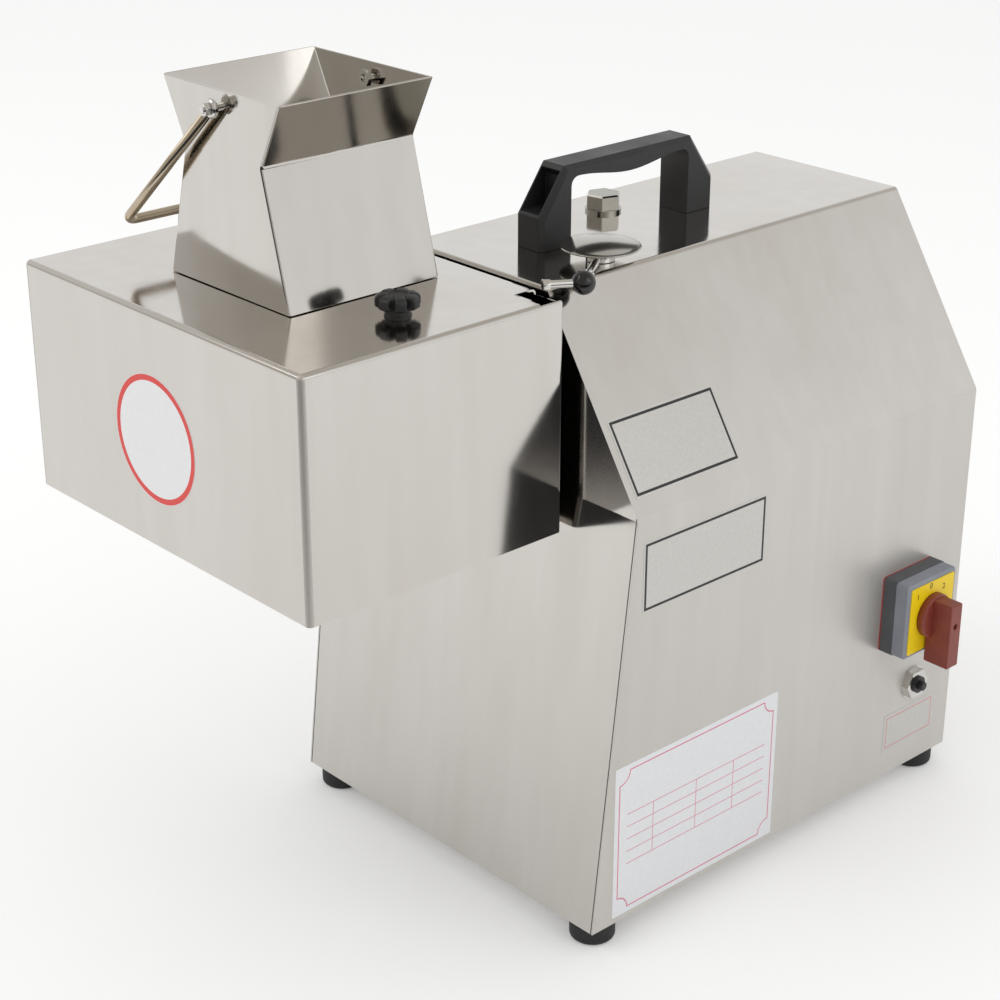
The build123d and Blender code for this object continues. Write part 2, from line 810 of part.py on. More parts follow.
def layshaft_gear():
    gear = Pos(hub_x, layshaft_height) * gear_outline(input_gear_teeth, input_module, layshaft_radius, 90)
    solid = on_y(gear, input_y, input_y + input_face)
    radius = input_module * input_gear_teeth / 2
    for x, z in ring_of(5, radius * 0.6, 18):
        solid -= round_y(hub_x + x, layshaft_height + z, radius * 0.2, input_y - 1, input_y + input_face + 1)
    return solid.solid()


def half_tooth_turn(driver_teeth, driver_turn, teeth, upwards):
    """Turn that puts a gap of this gear at the place where the driver's tooth meets it."""
    line = 90.0 if upwards else 270.0
    phase = ((line - driver_turn) * driver_teeth / 360.0) % 1.0
    return line + 180.0 - (0.5 - phase) * 360.0 / teeth


def layshaft():
    """Shaft and small pinion cut in one piece; the pinion drives the output gear."""
    turn = half_tooth_turn(output_teeth, 0.0, pinion_teeth, False)
    pinion = Pos(hub_x, layshaft_height) * gear_outline(pinion_teeth, output_module, layshaft_radius, turn)
    solid = on_y(pinion, output_y, output_y + output_face)
    solid += round_y(hub_x, layshaft_height, layshaft_radius, cavity_front - bearing_seat + 1,
                     cavity_rear + bearing_seat - 1)
    return solid.solid()


def motor_pinion():
    turn = half_tooth_turn(input_gear_teeth, 90.0, motor_pinion_teeth, False)
    pinion = gear_outline(motor_pinion_teeth, input_module, motor_shaft_radius, turn)
    return on_y(Pos(hub_x, motor_height) * pinion, input_y, input_y + input_face).solid()


def motor_frame():
    """Finned round frame between its two end bells, open inside for the rotor."""
    frame = round_y(hub_x, motor_height, motor_radius, motor_front, motor_rear)
    bore = motor_radius - motor_wall
    frame -= round_y(hub_x, motor_height, bore, motor_front + motor_bell, motor_rear - motor_bell)
    shaft_hole, rear_hole = motor_shaft_radius + 2, motor_shaft_radius + shaft_running
    frame -= round_y(hub_x, motor_height, shaft_hole, motor_front - 1, motor_front + motor_bell + 1)
    frame -= round_y(hub_x, motor_height, rear_hole, motor_rear - motor_bell - 1, motor_rear + 1)
    return frame.solid()


def motor_stator():
    """Laminated stator ring, pressed into the frame."""
    mid = (motor_front + motor_rear) / 2
    start, end = mid - stator_length / 2, mid + stator_length / 2
    ring = round_y(hub_x, motor_height, motor_radius - motor_wall, start, end)
    return (ring - round_y(hub_x, motor_height, motor_rotor_radius + motor_gap, start - 1, end + 1)).solid()


def motor_rotor():
    mid = (motor_front + motor_rear) / 2
    shaft = round_y(hub_x, motor_height, motor_shaft_radius, input_y, fan_front + fan_width)
    core = round_y(hub_x, motor_height, motor_rotor_radius, mid - motor_rotor_length / 2,
                   mid + motor_rotor_length / 2)
    return (shaft + core).solid()


def motor_fan():
    end = fan_front + fan_width
    fan = round_y(hub_x, motor_height, fan_hub_radius, fan_front, end)
    half = fan_blade_thickness / 2
    blade = outline_rect(fan_hub_radius - 2, fan_radius, -half, half)
    for i in range(fan_blades):
        fan += on_y(Pos(hub_x, motor_height) * Rot(0, 0, 360 / fan_blades * i) * blade, fan_front, end)
    return (fan - round_y(hub_x, motor_height, motor_shaft_radius, fan_front - 1, end + 1)).solid()


def motor_cowl():
    """Cup over the fan, with a ring of air holes in its end."""
    start, end = motor_rear, motor_rear + motor_cowl_length
    cowl = round_y(hub_x, motor_height, motor_radius, start, end)
    cowl -= round_y(hub_x, motor_height, motor_radius - 2, start - 1, end - 2)
    for x, z in ring_of(8, motor_radius * 0.55):
        cowl -= round_y(hub_x + x, motor_height + z, cowl_hole, end - 3, end + 1)
    return cowl.solid()


def motor_cradle():
    """Folded stand that carries the motor on the base plate."""
    start = motor_front + cradle_front
    end = start + cradle_length
    half = cradle_width / 2
    top = motor_height - motor_radius * 0.35
    stand = on_y(outline_rect(hub_x - half, hub_x + half, plate_top, top), start, end)
    stand -= on_y(outline_rect(hub_x - half + cradle_sheet, hub_x + half - cradle_sheet,
                               plate_top + cradle_sheet, top + 1), start - 1, end + 1)
    stand += on_y(outline_rect(hub_x - half, hub_x + half, top - cradle_web, top), start, start + cradle_sheet)
    stand += on_y(outline_rect(hub_x - half, hub_x + half, top - cradle_web, top), end - cradle_sheet, end)
    return (stand - round_y(hub_x, motor_height, motor_radius, start - 1, end + 1)).solid()


def capacitor():
    x, y = side_x - capacitor_gap - capacitor_radius, front_y + capacitor_setback
    can = round_z(x, y, capacitor_radius, plate_top, plate_top + capacitor_length)
    can = fillet(can.edges().sort_by(Axis.Z)[-1], capacitor_edge)
    for side in (-1, 1):
        can += on_z(outline_rect(x + side * 8 - 1, x + side * 8 + 1, y - 3, y + 3),
                    plate_top + capacitor_length - 1, plate_top + capacitor_length + 9)
    return can.solid()


def oil_plug():
    x, y = filler_centre()
    top = shell_top + plug_flange
    plug = round_z(x, y, plug_flange_radius, shell_top, top)
    head = on_z(Pos(x, y) * Rot(0, 0, 12) * hexagon(plug_hex), top, top + plug_hex_height)
    head = chamfer(head.edges().group_by(Axis.Z)[-1], 1.2)
    return (plug + head + round_z(x, y, filler_bore, shell_top - plug_thread_length, shell_top)).solid()


def switch_outline(width, tall, corner):
    return Pos(front_y + switch_setback, switch_height) * RectangleRounded(width, tall, corner)


def switch_gasket_piece():
    ring = on_x(switch_outline(switch_width, switch_tall, switch_corner), side_x, side_x + switch_gasket)
    hole = switch_outline(switch_body_size, switch_body_size, 1)
    return (ring - on_x(hole, side_x - 1, side_x + switch_gasket + 1)).solid()


def switch_base():
    """Dark base with the contact block behind the panel."""
    start = side_x + switch_gasket
    base = on_x(switch_outline(switch_width, switch_tall, switch_corner), start, start + switch_base_depth)
    block = switch_body_size - 2 * switch_body_clearance
    base += on_x(switch_outline(block, block, 1), side_x - switch_body_depth, start)
    return (base - knob_shaft(knob_spindle_radius + shaft_running, side_x - 10)).solid()


def knob_shaft(radius, start):
    return round_x(front_y + switch_setback, switch_height, radius, start, side_x + switch_out + 1)


def switch_cover():
    start = side_x + switch_gasket + switch_base_depth
    end = start + switch_cover_depth
    cover = on_x(switch_outline(switch_width - 1, switch_tall - 1, switch_corner), start, end)
    cover = chamfer(cover.edges().group_by(Axis.X)[-1], 1.5)
    return (cover - knob_shaft(knob_spindle_radius + 0.5, start - 1)).solid()


def switch_face_plate():
    start = side_x + switch_out - switch_face
    face = on_x(switch_outline(switch_face_width, switch_face_tall, 1.5), start, start + switch_face)
    return (face - knob_shaft(knob_spindle_radius + 0.5, start - 1)).solid()


def switch_knob():
    """Round flange with a deep upright blade, on its spindle."""
    start = side_x + switch_out + 0.3
    y, z = front_y + switch_setback, switch_height
    knob = round_x(y, z, knob_flange_radius, start, start + knob_flange)
    knob = fillet(knob.edges().sort_by(Axis.X)[-1], 2)
    half = knob_blade_width / 2
    low = z + knob_flange_radius - knob_blade_length
    blade = on_x(outline_rect(y - half, y + half, low, z + knob_flange_radius - 2), start,
                 side_x + knob_out)
    blade = chamfer(blade.edges().group_by(Axis.X)[-1], 1.5)
    knob = knob + blade
    return (knob + round_x(y, z, knob_spindle_radius, side_x - 10, start)).solid()


def breaker_place():
    return front_y + breaker_setback, breaker_height


def breaker_body():
    y, z = breaker_place()
    inner = side_x - shell_sheet
    body = round_x(y, z, breaker_body_radius, inner - breaker_body_depth, inner)
    body += round_x(y, z, breaker_thread_radius, inner, side_x + breaker_collar)
    bore_end = side_x + breaker_collar + button_reach - button_length - 6
    bore = round_x(y, z, button_radius + shaft_running, bore_end, side_x + breaker_collar + 1)
    return (body - bore).solid()


def breaker_nut_piece():
    y, z = breaker_place()
    nut = on_x(Pos(y, z) * hexagon(2 * breaker_nut_radius), side_x + 1.2, side_x + breaker_nut)
    nut = nut + round_x(y, z, breaker_nut_radius + 3, side_x, side_x + 1.2)
    return (nut - round_x(y, z, breaker_thread_radius, side_x - 1, side_x + breaker_nut + 1)).solid()


def breaker_button():
    y, z = breaker_place()
    tip = side_x + breaker_collar + button_reach - 7
    button = round_x(y, z, button_radius, tip - button_length + 7, tip)
    return fillet(button.edges().sort_by(Axis.X)[-1], 1.2).solid()


def cord_gland():
    """Gland in the rear cover, with its bore left empty."""
    x, z = body_x + gland_x, gland_height
    thread = gland_radius - 2
    nut = Pos(x, z) * hexagon(2 * gland_radius)
    gland = round_y(x, z, thread, shell_rear - gland_nut - 2, rear_y)
    gland += on_y(nut, shell_rear - gland_nut, shell_rear) + on_y(nut, rear_y, rear_y + gland_nut)
    dome = round_y(x, z, thread, rear_y + gland_nut, rear_y + gland_out)
    gland += chamfer(dome.edges().sort_by(Axis.Y)[-1], 2.5)
    return (gland - round_y(x, z, gland_bore, shell_rear - 20, rear_y + 30)).solid()


def head_block(inset, low):
    """The cover's outline as a block, with bent corners."""
    w = head_width / 2 - inset
    front, rear = head_front + inset, head_rear - inset
    block = on_z(outline_rect(head_x - w, head_x + w, front, rear), low, head_top - inset)
    keep = [e for e in block.edges() if e.center().Z > low + 1]
    return fillet(keep, head_bend - inset)


def cutter_cover():
    """Five-sided sheet cover, open below, notched behind so that it lifts off over the neck."""
    cover = head_block(0, head_low) - head_block(head_sheet, head_low - 1)
    inside = hopper_opening(spigot_inset - spigot_clearance)
    cover -= on_z(inside, head_top - 5, head_top + 1)
    cover -= round_z(star_x, star_y, star_stud_radius + star_stud_clearance, head_top - 5, head_top + 1)
    reach = neck_flange_radius - 10
    notch = outline_rect(hub_x - reach, hub_x + reach, head_low - 1, hub_height)
    notch += Pos(hub_x, hub_height) * Circle(reach)
    cover -= on_y(notch, head_rear - 5, head_rear + 1)
    corner_x, corner_y = head_x + head_width / 2, head_rear
    cover -= on_z(outline_rect(corner_x - relief_notch_x, corner_x - head_sheet,
                               corner_y - relief_notch_y, corner_y + 1), head_top - head_bend, head_top + 1)
    return cover.solid()


def hopper_opening(inset):
    w, d = hopper_base / 2 - inset, hopper_depth / 2 - inset
    return outline_rect(head_x - w, head_x + w, hopper_y - d, hopper_y + d)


def head_plate_outline():
    reach = tie_rod_reach + tie_rod_edge
    top = head_top - head_sheet
    low = head_low + head_plate_low
    plate = outline_rect(shaft_b_x - reach, hub_x + reach, low, top)
    plate = chamfer(plate.vertices(), head_plate_corner)
    for x in shaft_places():
        plate -= Pos(x, hub_height) * Circle(shaft_journal + bush_wall)
    for x, z in tie_rod_places():
        plate -= Pos(x, z) * Circle(tie_rod_radius)
    return plate


def shaft_places():
    return (hub_x, shaft_b_x)


def tie_rod_places():
    """Tie rods near the corners of the end plates."""
    low = head_low + head_plate_low + tie_rod_edge
    columns = (shaft_b_x - tie_rod_reach, hub_x + tie_rod_reach)
    return [(x, z) for x in columns for z in (low, head_top - tie_rod_drop)]


def front_plate():
    return on_y(head_plate_outline(), bay_front - head_plate, bay_front).solid()


def rear_plate():
    return on_y(head_plate_outline(), bay_rear, bay_rear + head_plate).solid()


def drive_neck():
    """Turned neck, flanged to the rear plate, that slides into the hub."""
    start = bay_rear + head_plate
    neck = round_y(hub_x, hub_height, neck_flange_radius, start, start + neck_flange)
    neck += round_y(hub_x, hub_height, hub_bore - shaft_running, start, panel_y + neck_length - head_gap)
    bore = shaft_socket_radius + 0.5
    return (neck - round_y(hub_x, hub_height, bore, start - 1, panel_y + neck_length + 1)).solid()


def tie_rods():
    made = []
    front, rear = bay_front - head_plate, bay_rear + head_plate
    for x, z in tie_rod_places():
        rod = round_y(x, z, tie_rod_radius, front, rear)
        rod += round_y(x, z, tie_rod_head_radius, front - tie_rod_head, front)
        rod += round_y(x, z, tie_rod_head_radius, rear, rear + tie_rod_head)
        rod += round_y(x, z, tie_rod_head_radius, bay_front, bay_rear)
        made.append(rod)
    return made


def knob_bar():
    """Flat bar between the end plates, tapped for the star knob's stud."""
    half = knob_bar_width / 2
    top = head_top - head_sheet
    low = top - knob_bar_depth
    bar = on_y(outline_rect(star_x - half, star_x + half, low, top), bay_front, bay_rear)
    return (bar - round_z(star_x, star_y, star_stud_radius + shaft_running, low - 1, top + 1)).solid()


def shaft_bushes():
    made = []
    bore = shaft_journal + shaft_running
    for x in shaft_places():
        for start in (bay_front - head_plate, bay_rear):
            end = start + head_plate
            bush = round_y(x, hub_height, shaft_journal + bush_wall, start, end)
            made.append(bush - round_y(x, hub_height, bore, start - 1, end + 1))
    return made


def blade_starts(first_gap):
    """Where each blade of a shaft begins along the bay."""
    return [bay_front + first_gap + i * blade_pitch for i in range(blade_count)]


first_gap_a = (blade_bay - (blade_count - 0.5) * blade_pitch - blade_thickness) / 2 + blade_pitch / 2
first_gap_b = first_gap_a - blade_pitch / 2


def blade_shaft(x, driven):
    """Hexagonal shaft on round journals; the driven one ends in a six-sided socket."""
    shaft = on_y(Pos(x, hub_height) * hexagon(shaft_hex), bay_front, bay_rear)
    front_end = bay_front - head_plate - cutter_gear_gap - cutter_gear_face - end_nut
    shaft += round_y(x, hub_height, shaft_journal, front_end, bay_front)
    if not driven:
        return (shaft + round_y(x, hub_height, shaft_journal, bay_rear, bay_rear + head_plate + 4)).solid()
    neck_start = bay_rear + head_plate
    shaft += round_y(x, hub_height, shaft_journal, bay_rear, neck_start)
    socket_end = panel_y + neck_length - head_gap
    shaft += round_y(x, hub_height, shaft_socket_radius, neck_start, socket_end)
    socket_start = socket_rear - drive_hex_length - 2
    socket = on_y(Pos(x, hub_height) * hexagon(drive_hex + drive_hex_play), socket_start, socket_end + 1)
    return (shaft - socket).solid()


def blades(x, first_gap):
    """Round knives with one bevelled side, keyed on the six-sided shaft."""
    made = []
    for start in blade_starts(first_gap):
        knife = round_y(x, hub_height, blade_radius, start, start + blade_thickness)
        knife = chamfer(knife.edges().sort_by(Axis.Y)[-1], length=blade_thickness * 0.7, length2=blade_bevel)
        keyed_bore = on_y(Pos(x, hub_height) * hexagon(shaft_hex), start - 1, start + blade_thickness + 1)
        made.append(knife - keyed_bore)
    return made


def spacers(x, first_gap):
    """Sleeves that hold the knives apart."""
    made = []
    starts = blade_starts(first_gap)
    ends = [bay_front + 1] + [s + blade_thickness for s in starts]
    for start, end in zip(ends, starts + [bay_rear - 1]):
        sleeve = round_y(x, hub_height, spacer_radius, start, end)
        made.append(sleeve - on_y(Pos(x, hub_height) * hexagon(shaft_hex), start - 1, end + 1))
    return made


def comb(x, first_gap, side):
    """Stripper comb: a bar along the bay with a forked finger in each gap between knives."""
    bar_x = x + side * (blade_radius + comb_blade_gap + comb_bar_thickness / 2)
    half, tall = comb_bar_thickness / 2, comb_bar_height / 2
    low = hub_height - blade_radius * 0.6
    solid = on_y(outline_rect(bar_x - half, bar_x + half, low - tall, low + tall), bay_front, bay_rear)
    starts = blade_starts(first_gap)
    tip = spacer_radius + comb_clearance
    for start in starts[:-1]:
        finger = Polygon((bar_x, low - tall + 2), (bar_x, low + tall - 2),
                         (x + side * tip * 0.9, hub_height - tip * 0.1), (x, hub_height - tip - 4),
                         (x - side * tip * 0.7, hub_height - tip * 1.15),
                         (x - side * tip * 0.5, hub_height - tip * 1.6), align=None)
        finger -= Pos(x, hub_height) * Circle(tip)
        near, far = start + blade_thickness + comb_finger_gap, start + blade_pitch - comb_finger_gap
        solid += on_y(finger, near, far)
    return solid.solid()


def cutter_gear(x, turn):
    start = bay_front - head_plate - cutter_gear_gap - cutter_gear_face
    gear = Pos(x, hub_height) * gear_outline(cutter_teeth, cutter_module, shaft_journal, turn)
    solid = on_y(gear, start, start + cutter_gear_face)
    for dx, dz in ring_of(6, cutter_teeth * cutter_module * 0.31):
        solid -= round_y(x + dx, hub_height + dz, cutter_gear_hole, start - 1, start + cutter_gear_face + 1)
    return solid.solid()


def gear_collars(x):
    """Lock nut in front of the gear and thrust ring behind it."""
    back = bay_front - head_plate - cutter_gear_gap
    front = back - cutter_gear_face
    nut = on_y(Pos(x, hub_height) * hexagon(2 * end_nut_radius), front - end_nut, front)
    ring = round_y(x, hub_height, shaft_journal + bush_wall, back, back + cutter_gear_gap - 0.3)
    bore = round_y(x, hub_height, shaft_journal, front - end_nut - 1, back + cutter_gear_gap + 1)
    return [nut - bore, ring - bore]


def star_knob():
    """Lobed hand knob with its neck and stud."""
    seat = head_top
    head_start = seat + star_neck
    face = Circle(star_radius)
    for x, y in ring_of(star_lobes, star_radius + star_lobe_cut * 0.35):
        face -= Pos(x, y) * Circle(star_lobe_cut)
    head = on_z(Pos(star_x, star_y) * face, head_start, head_start + star_head)
    head = chamfer(head.edges().group_by(Axis.Z)[-1], 1.0)
    neck = round_z(star_x, star_y, star_neck_radius, seat, head_start)
    stud = round_z(star_x, star_y, star_stud_radius, seat - star_stud_length, seat)
    return (head + neck + stud).solid()


def hopper_profile(inset):
    """Hourglass outline seen from the front."""
    base, waist, rim = (size / 2 - inset for size in (hopper_base, hopper_waist, hopper_rim))
    low = head_top + hopper_seam
    levels = (low, low + hopper_waist_height, low + hopper_height)
    right = [(head_x + w, z) for w, z in zip((base, waist, rim), levels)]
    left = [(head_x - w, z) for w, z in zip((base, waist, rim), levels)]
    return Polygon(*right, *reversed(left), align=None)


def pivot_height():
    return head_top + hopper_seam + hopper_height - bail_pivot_drop


def hopper():
    """Hourglass feed hopper with a spigot that drops into the cover's opening."""
    d = hopper_depth / 2
    body = on_y(hopper_profile(0), hopper_y - d, hopper_y + d)
    low = head_top + hopper_seam
    body -= on_y(hopper_profile(hopper_sheet), hopper_y - d + hopper_sheet, hopper_y + d - hopper_sheet)
    body += on_z(hopper_opening(0) - hopper_opening(spigot_inset + hopper_sheet), low, low + hopper_sheet)
    body += on_z(hopper_opening(spigot_inset) - hopper_opening(spigot_inset + hopper_sheet),
                 head_top - spigot_length, low)
    body -= round_y(head_x, pivot_height(), bail_radius + shaft_running, hopper_y - d - 1, hopper_y + d + 1)
    return body.solid()


def hopper_bail():
    """One bent rod: two arms outside the hopper, joined by a bar, with its ends turned in as pivots."""
    y_arm = hopper_depth / 2 + bail_stand_off
    y_end = hopper_depth / 2 - bail_inner
    x, z = head_x, pivot_height()
    bar_x, bar_z = x - bail_reach_x, z - bail_drop
    points = [(x, hopper_y - y_end, z), (x, hopper_y - y_arm, z), (bar_x, hopper_y - y_arm, bar_z),
              (bar_x, hopper_y + y_arm, bar_z), (x, hopper_y + y_arm, z), (x, hopper_y + y_end, z)]
    pivot_bend = bail_stand_off - 2.0
    path = FilletPolyline(*points, radius=[pivot_bend, bail_bend, bail_bend, pivot_bend])
    section = Plane(origin=points[0], z_dir=(0, -1, 0)) * Circle(bail_radius)
    return sweep(section, path=path).solid()


def bail_nuts():
    """Cap nuts on the bail's ends, inside the hopper."""
    made = []
    for side in (-1, 1):
        start = hopper_y + side * (hopper_depth / 2 - bail_inner)
        low, high = sorted((start, start + side * (bail_nut - 1)))
        nut = on_y(Pos(head_x, pivot_height()) * hexagon(2 * bail_nut_radius), low, high)
        made.append(nut - round_y(head_x, pivot_height(), bail_radius, low - 1, high + 1))
    return made


mating_turn = 180.0 / cutter_teeth

pieces = {
    "housing_shell": housing_shell, "rear_cover": rear_cover, "cover_screws": cover_screws,
    "base_plate": base_plate, "feet": feet, "foot_screws": foot_screws,
    "carry_handle": carry_handle, "handle_screws": handle_screws,
    "hub_socket": hub_socket, "lock_screw": lock_screw, "lock_knob": lock_knob,
    "lock_lever": lock_lever, "lock_ball": lock_ball,
    "gearbox_housing": gearbox_housing, "gearbox_cover": gearbox_cover, "gearbox_bolts": gearbox_bolts,
    "gearbox_bearings": gearbox_bearings, "output_gear": output_gear, "output_shaft": output_shaft,
    "layshaft_gear": layshaft_gear, "layshaft": layshaft, "motor_pinion": motor_pinion,
    "motor_frame": motor_frame, "motor_stator": motor_stator, "motor_rotor": motor_rotor,
    "motor_fan": motor_fan, "motor_cowl": motor_cowl, "motor_cradle": motor_cradle,
    "capacitor": capacitor, "oil_plug": oil_plug,
    "switch_gasket": switch_gasket_piece, "switch_base": switch_base, "switch_cover": switch_cover,
    "switch_face": switch_face_plate, "switch_knob": switch_knob,
    "breaker_body": breaker_body, "breaker_nut": breaker_nut_piece, "breaker_button": breaker_button,
    "cord_gland": cord_gland,
    "cutter_cover": cutter_cover, "front_plate": front_plate, "rear_plate": rear_plate,
    "drive_neck": drive_neck, "tie_rods": tie_rods, "knob_bar": knob_bar, "shaft_bushes": shaft_bushes,
    "blade_shaft_a": lambda: blade_shaft(hub_x, True), "blade_shaft_b": lambda: blade_shaft(shaft_b_x, False),
    "blades_a": lambda: blades(hub_x, first_gap_a), "blades_b": lambda: blades(shaft_b_x, first_gap_b),
    "shaft_sleeves_a": lambda: spacers(hub_x, first_gap_a) + gear_collars(hub_x),
    "shaft_sleeves_b": lambda: spacers(shaft_b_x, first_gap_b) + gear_collars(shaft_b_x),
    "stripper_combs": lambda: [comb(hub_x, first_gap_a, 1), comb(shaft_b_x, first_gap_b, -1)],
    "cutter_gear_a": lambda: cutter_gear(hub_x, 0.0),
    "cutter_gear_b": lambda: cutter_gear(shaft_b_x, mating_turn),
    "star_knob": star_knob, "hopper": hopper, "hopper_bail": hopper_bail, "bail_nuts": bail_nuts,
}

os.makedirs("parts", exist_ok=True)
for name, make in pieces.items():
    made = make()
    if isinstance(made, list):
        made = Compound(children=[item.solid() for item in made])
    export_step(made, f"parts/{name}.step")
    print(name)
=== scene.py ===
import bpy
import bmesh
import json
import math
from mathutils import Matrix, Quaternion, Vector


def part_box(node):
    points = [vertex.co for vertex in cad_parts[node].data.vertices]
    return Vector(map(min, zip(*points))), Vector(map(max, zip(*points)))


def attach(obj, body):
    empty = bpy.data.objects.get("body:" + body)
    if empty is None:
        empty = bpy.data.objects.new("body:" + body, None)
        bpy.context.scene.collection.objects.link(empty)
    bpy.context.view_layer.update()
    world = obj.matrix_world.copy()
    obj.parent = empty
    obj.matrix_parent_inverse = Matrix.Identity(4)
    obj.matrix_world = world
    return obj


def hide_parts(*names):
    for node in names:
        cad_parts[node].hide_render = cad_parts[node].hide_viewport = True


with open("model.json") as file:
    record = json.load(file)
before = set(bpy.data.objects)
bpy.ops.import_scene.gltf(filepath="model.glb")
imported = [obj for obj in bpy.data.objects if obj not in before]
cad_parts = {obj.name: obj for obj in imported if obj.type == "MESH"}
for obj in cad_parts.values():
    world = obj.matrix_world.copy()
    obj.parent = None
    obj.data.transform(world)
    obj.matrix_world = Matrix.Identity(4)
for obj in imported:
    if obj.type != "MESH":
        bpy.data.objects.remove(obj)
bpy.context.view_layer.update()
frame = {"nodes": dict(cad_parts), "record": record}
scene = bpy.context.scene
scene.view_settings.view_transform = "Standard"
nodes = frame["nodes"]

# Places read from the frame, in metres: x across, y front to back, z up
shellLow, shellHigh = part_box("housing_shell")
coverLow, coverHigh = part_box("cutter_cover")
hopperLow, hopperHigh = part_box("hopper")
bodyX = (shellLow[0] + shellHigh[0]) / 2
sideX = shellHigh[0]
frontY = shellLow[1]
floorZ = shellLow[2]


# A point given in millimetres from the casing's lower front edge, on its middle line
def spot(x, y, z):
    return Vector((bodyX + x / 1000, frontY + y / 1000, floorZ + z / 1000))


# A socket that takes part in sums, so that masks read as plain expressions
class Wire:
    def __init__(self, paint, socket):
        self.paint = paint
        self.socket = socket

    def __add__(self, other):
        return self.paint.maths("ADD", self, other)

    def __radd__(self, other):
        return self.paint.maths("ADD", other, self)

    def __sub__(self, other):
        return self.paint.maths("SUBTRACT", self, other)

    def __rsub__(self, other):
        return self.paint.maths("SUBTRACT", other, self)

    def __mul__(self, other):
        return self.paint.maths("MULTIPLY", self, other)

    def __rmul__(self, other):
        return self.paint.maths("MULTIPLY", other, self)

    def __gt__(self, other):
        return self.paint.maths("GREATER_THAN", self, other)

    def __lt__(self, other):
        return self.paint.maths("LESS_THAN", self, other)

    # Another output of the node that this socket belongs to
    def also(self, name):
        return Wire(self.paint, self.socket.node.outputs[name])


# A node tree under construction
class Sketch:
    def __init__(self, tree):
        self.tree = tree
        self.tree.nodes.clear()

    def plug(self, socket, value):
        if isinstance(value, list):
            for part in value:
                self.plug(socket, part)
        elif isinstance(value, Wire):
            self.tree.links.new(value.socket, socket)
        elif hasattr(socket.default_value, "__len__") and hasattr(value, "__len__"):
            socket.default_value = tuple(value) + (1.0,) * (len(socket.default_value) - len(value))
        else:
            socket.default_value = value

    # Any node: its kind, its settings, then the values or wires of its sockets, by name or as i and a number
    def node(self, kind, settings=None, out=0, **sockets):
        made = self.tree.nodes.new(kind)
        for key, value in (settings or {}).items():
            setattr(made, key, value)
        for key, value in sockets.items():
            index = int(key[1:]) if key[0] == "i" and key[1:].isdigit() else key.replace("_", " ")
            self.plug(made.inputs[index], value)
        return Wire(self, made.outputs[out])

    def maths(self, operation, *values):
        inputs = {f"i{index}": value for index, value in enumerate(values)}
        return self.node("ShaderNodeMath", {"operation": operation}, **inputs)

    def clamp(self, value):
        return self.node("ShaderNodeClamp", i0=value)

    def blend(self, mask, first, second):
        return self.node("ShaderNodeMix", {"data_type": "RGBA"}, out=2, i0=mask, i6=first, i7=second)

    def absolute(self, value):
        return self.maths("ABSOLUTE", value)

    def least(self, first, second):
        return self.maths("MINIMUM", first, second)

    def most(self, first, second):
        return self.maths("MAXIMUM", first, second)

    # Object coordinates, moved and stretched
    def place(self, stretch=(1, 1, 1), move=(0, 0, 0)):
        here = self.node("ShaderNodeTexCoord", out=3)
        return self.node("ShaderNodeMapping", i0=here, Location=move, Scale=stretch)

    def apart(self, vector):
        return self.node("ShaderNodeSeparateXYZ", Vector=vector)

    def noise(self, scale, stretch=(1, 1, 1), detail=3.0, rough=0.6):
        return self.node("ShaderNodeTexNoise", Vector=self.place(stretch), Scale=scale, Detail=detail,
                         Roughness=rough)

    def spread(self, value, low, high, newLow=0.0, newHigh=1.0):
        return self.node("ShaderNodeMapRange", i0=value, i1=low, i2=high, i3=newLow, i4=newHigh)

    def bump(self, height):
        return self.node("ShaderNodeBump", Height=height, Distance=1.0)


# A material under construction
class Paint(Sketch):
    def __init__(self, name):
        self.material = bpy.data.materials.new(name)
        self.material.use_nodes = True
        super().__init__(self.material.node_tree)
        output = self.tree.nodes.new("ShaderNodeOutputMaterial")
        self.shader = self.tree.nodes.new("ShaderNodeBsdfPrincipled")
        self.tree.links.new(self.shader.outputs["BSDF"], output.inputs["Surface"])

    def set(self, **values):
        for key, value in values.items():
            self.plug(self.shader.inputs[key.replace("_", " ")], value)
        return self.material


# Polished steel sheet: the casing's has satin sides and a seam at its front corners, the cover's hazy corners
def polishedSheet(name, look):
    paint = Paint(name)
    cloud = paint.noise(look["cloudScale"], look["cloudStretch"], detail=4.0)
    haze = paint.spread(cloud, 0.35, 0.75)
    metal = 1.0
    # Long upright streaks: polishing lines in the roughness and bump, and in the colour darker streaks that
    # are a painted reflection of the studio
    streak = paint.noise(look["streakScale"], look["streakStretch"], detail=2.0, rough=0.5)
    tone = paint.blend(haze, look["colour"], look["warmColour"])
    shade = paint.blend(paint.spread(streak, 0.3, 0.8, 0.0, look["streakTone"]), tone, look["streakColour"])
    roughness = look["roughness"] + haze * look["hazeRoughness"] + streak * look["streakRoughness"]
    if "satin" in look:
        here = paint.apart(paint.place(move=(-bodyX, 0, 0)))
        across, half = paint.absolute(here), sideX - bodyX
        beside = across > half - look["sideSkin"]
        metal = 1 - beside * look["satinDull"]
        front = (here.also("Y") < frontY + look["seamDeep"]) * (here.also("Z") < floorZ + look["seamHigh"])
        seam = (across > half - look["seamFrom"]) * (across < half - look["seamTo"]) * front
        shade = paint.blend(seam, shade, look["seamColour"])
        roughness = roughness + beside * look["satin"] + seam * look["seamRoughness"]
    if "foldHaze" in look:
        here = paint.apart(paint.place(move=(-(coverLow[0] + coverHigh[0]) / 2, -coverLow[1], 0)))
        half = (coverHigh[0] - coverLow[0]) / 2
        fold = (paint.absolute(here) > half - look["foldReach"]) * (here.also("Y") < look["foldReach"])
        roughness = roughness + fold * look["foldHaze"]
    sway = paint.noise(look["swayScale"], detail=1.0, rough=0.4)
    ripple = paint.bump(sway * look["swayDepth"] + streak * look["lineDepth"])
    return paint.set(Base_Color=shade, Metallic=metal, Roughness=roughness, Normal=ripple)


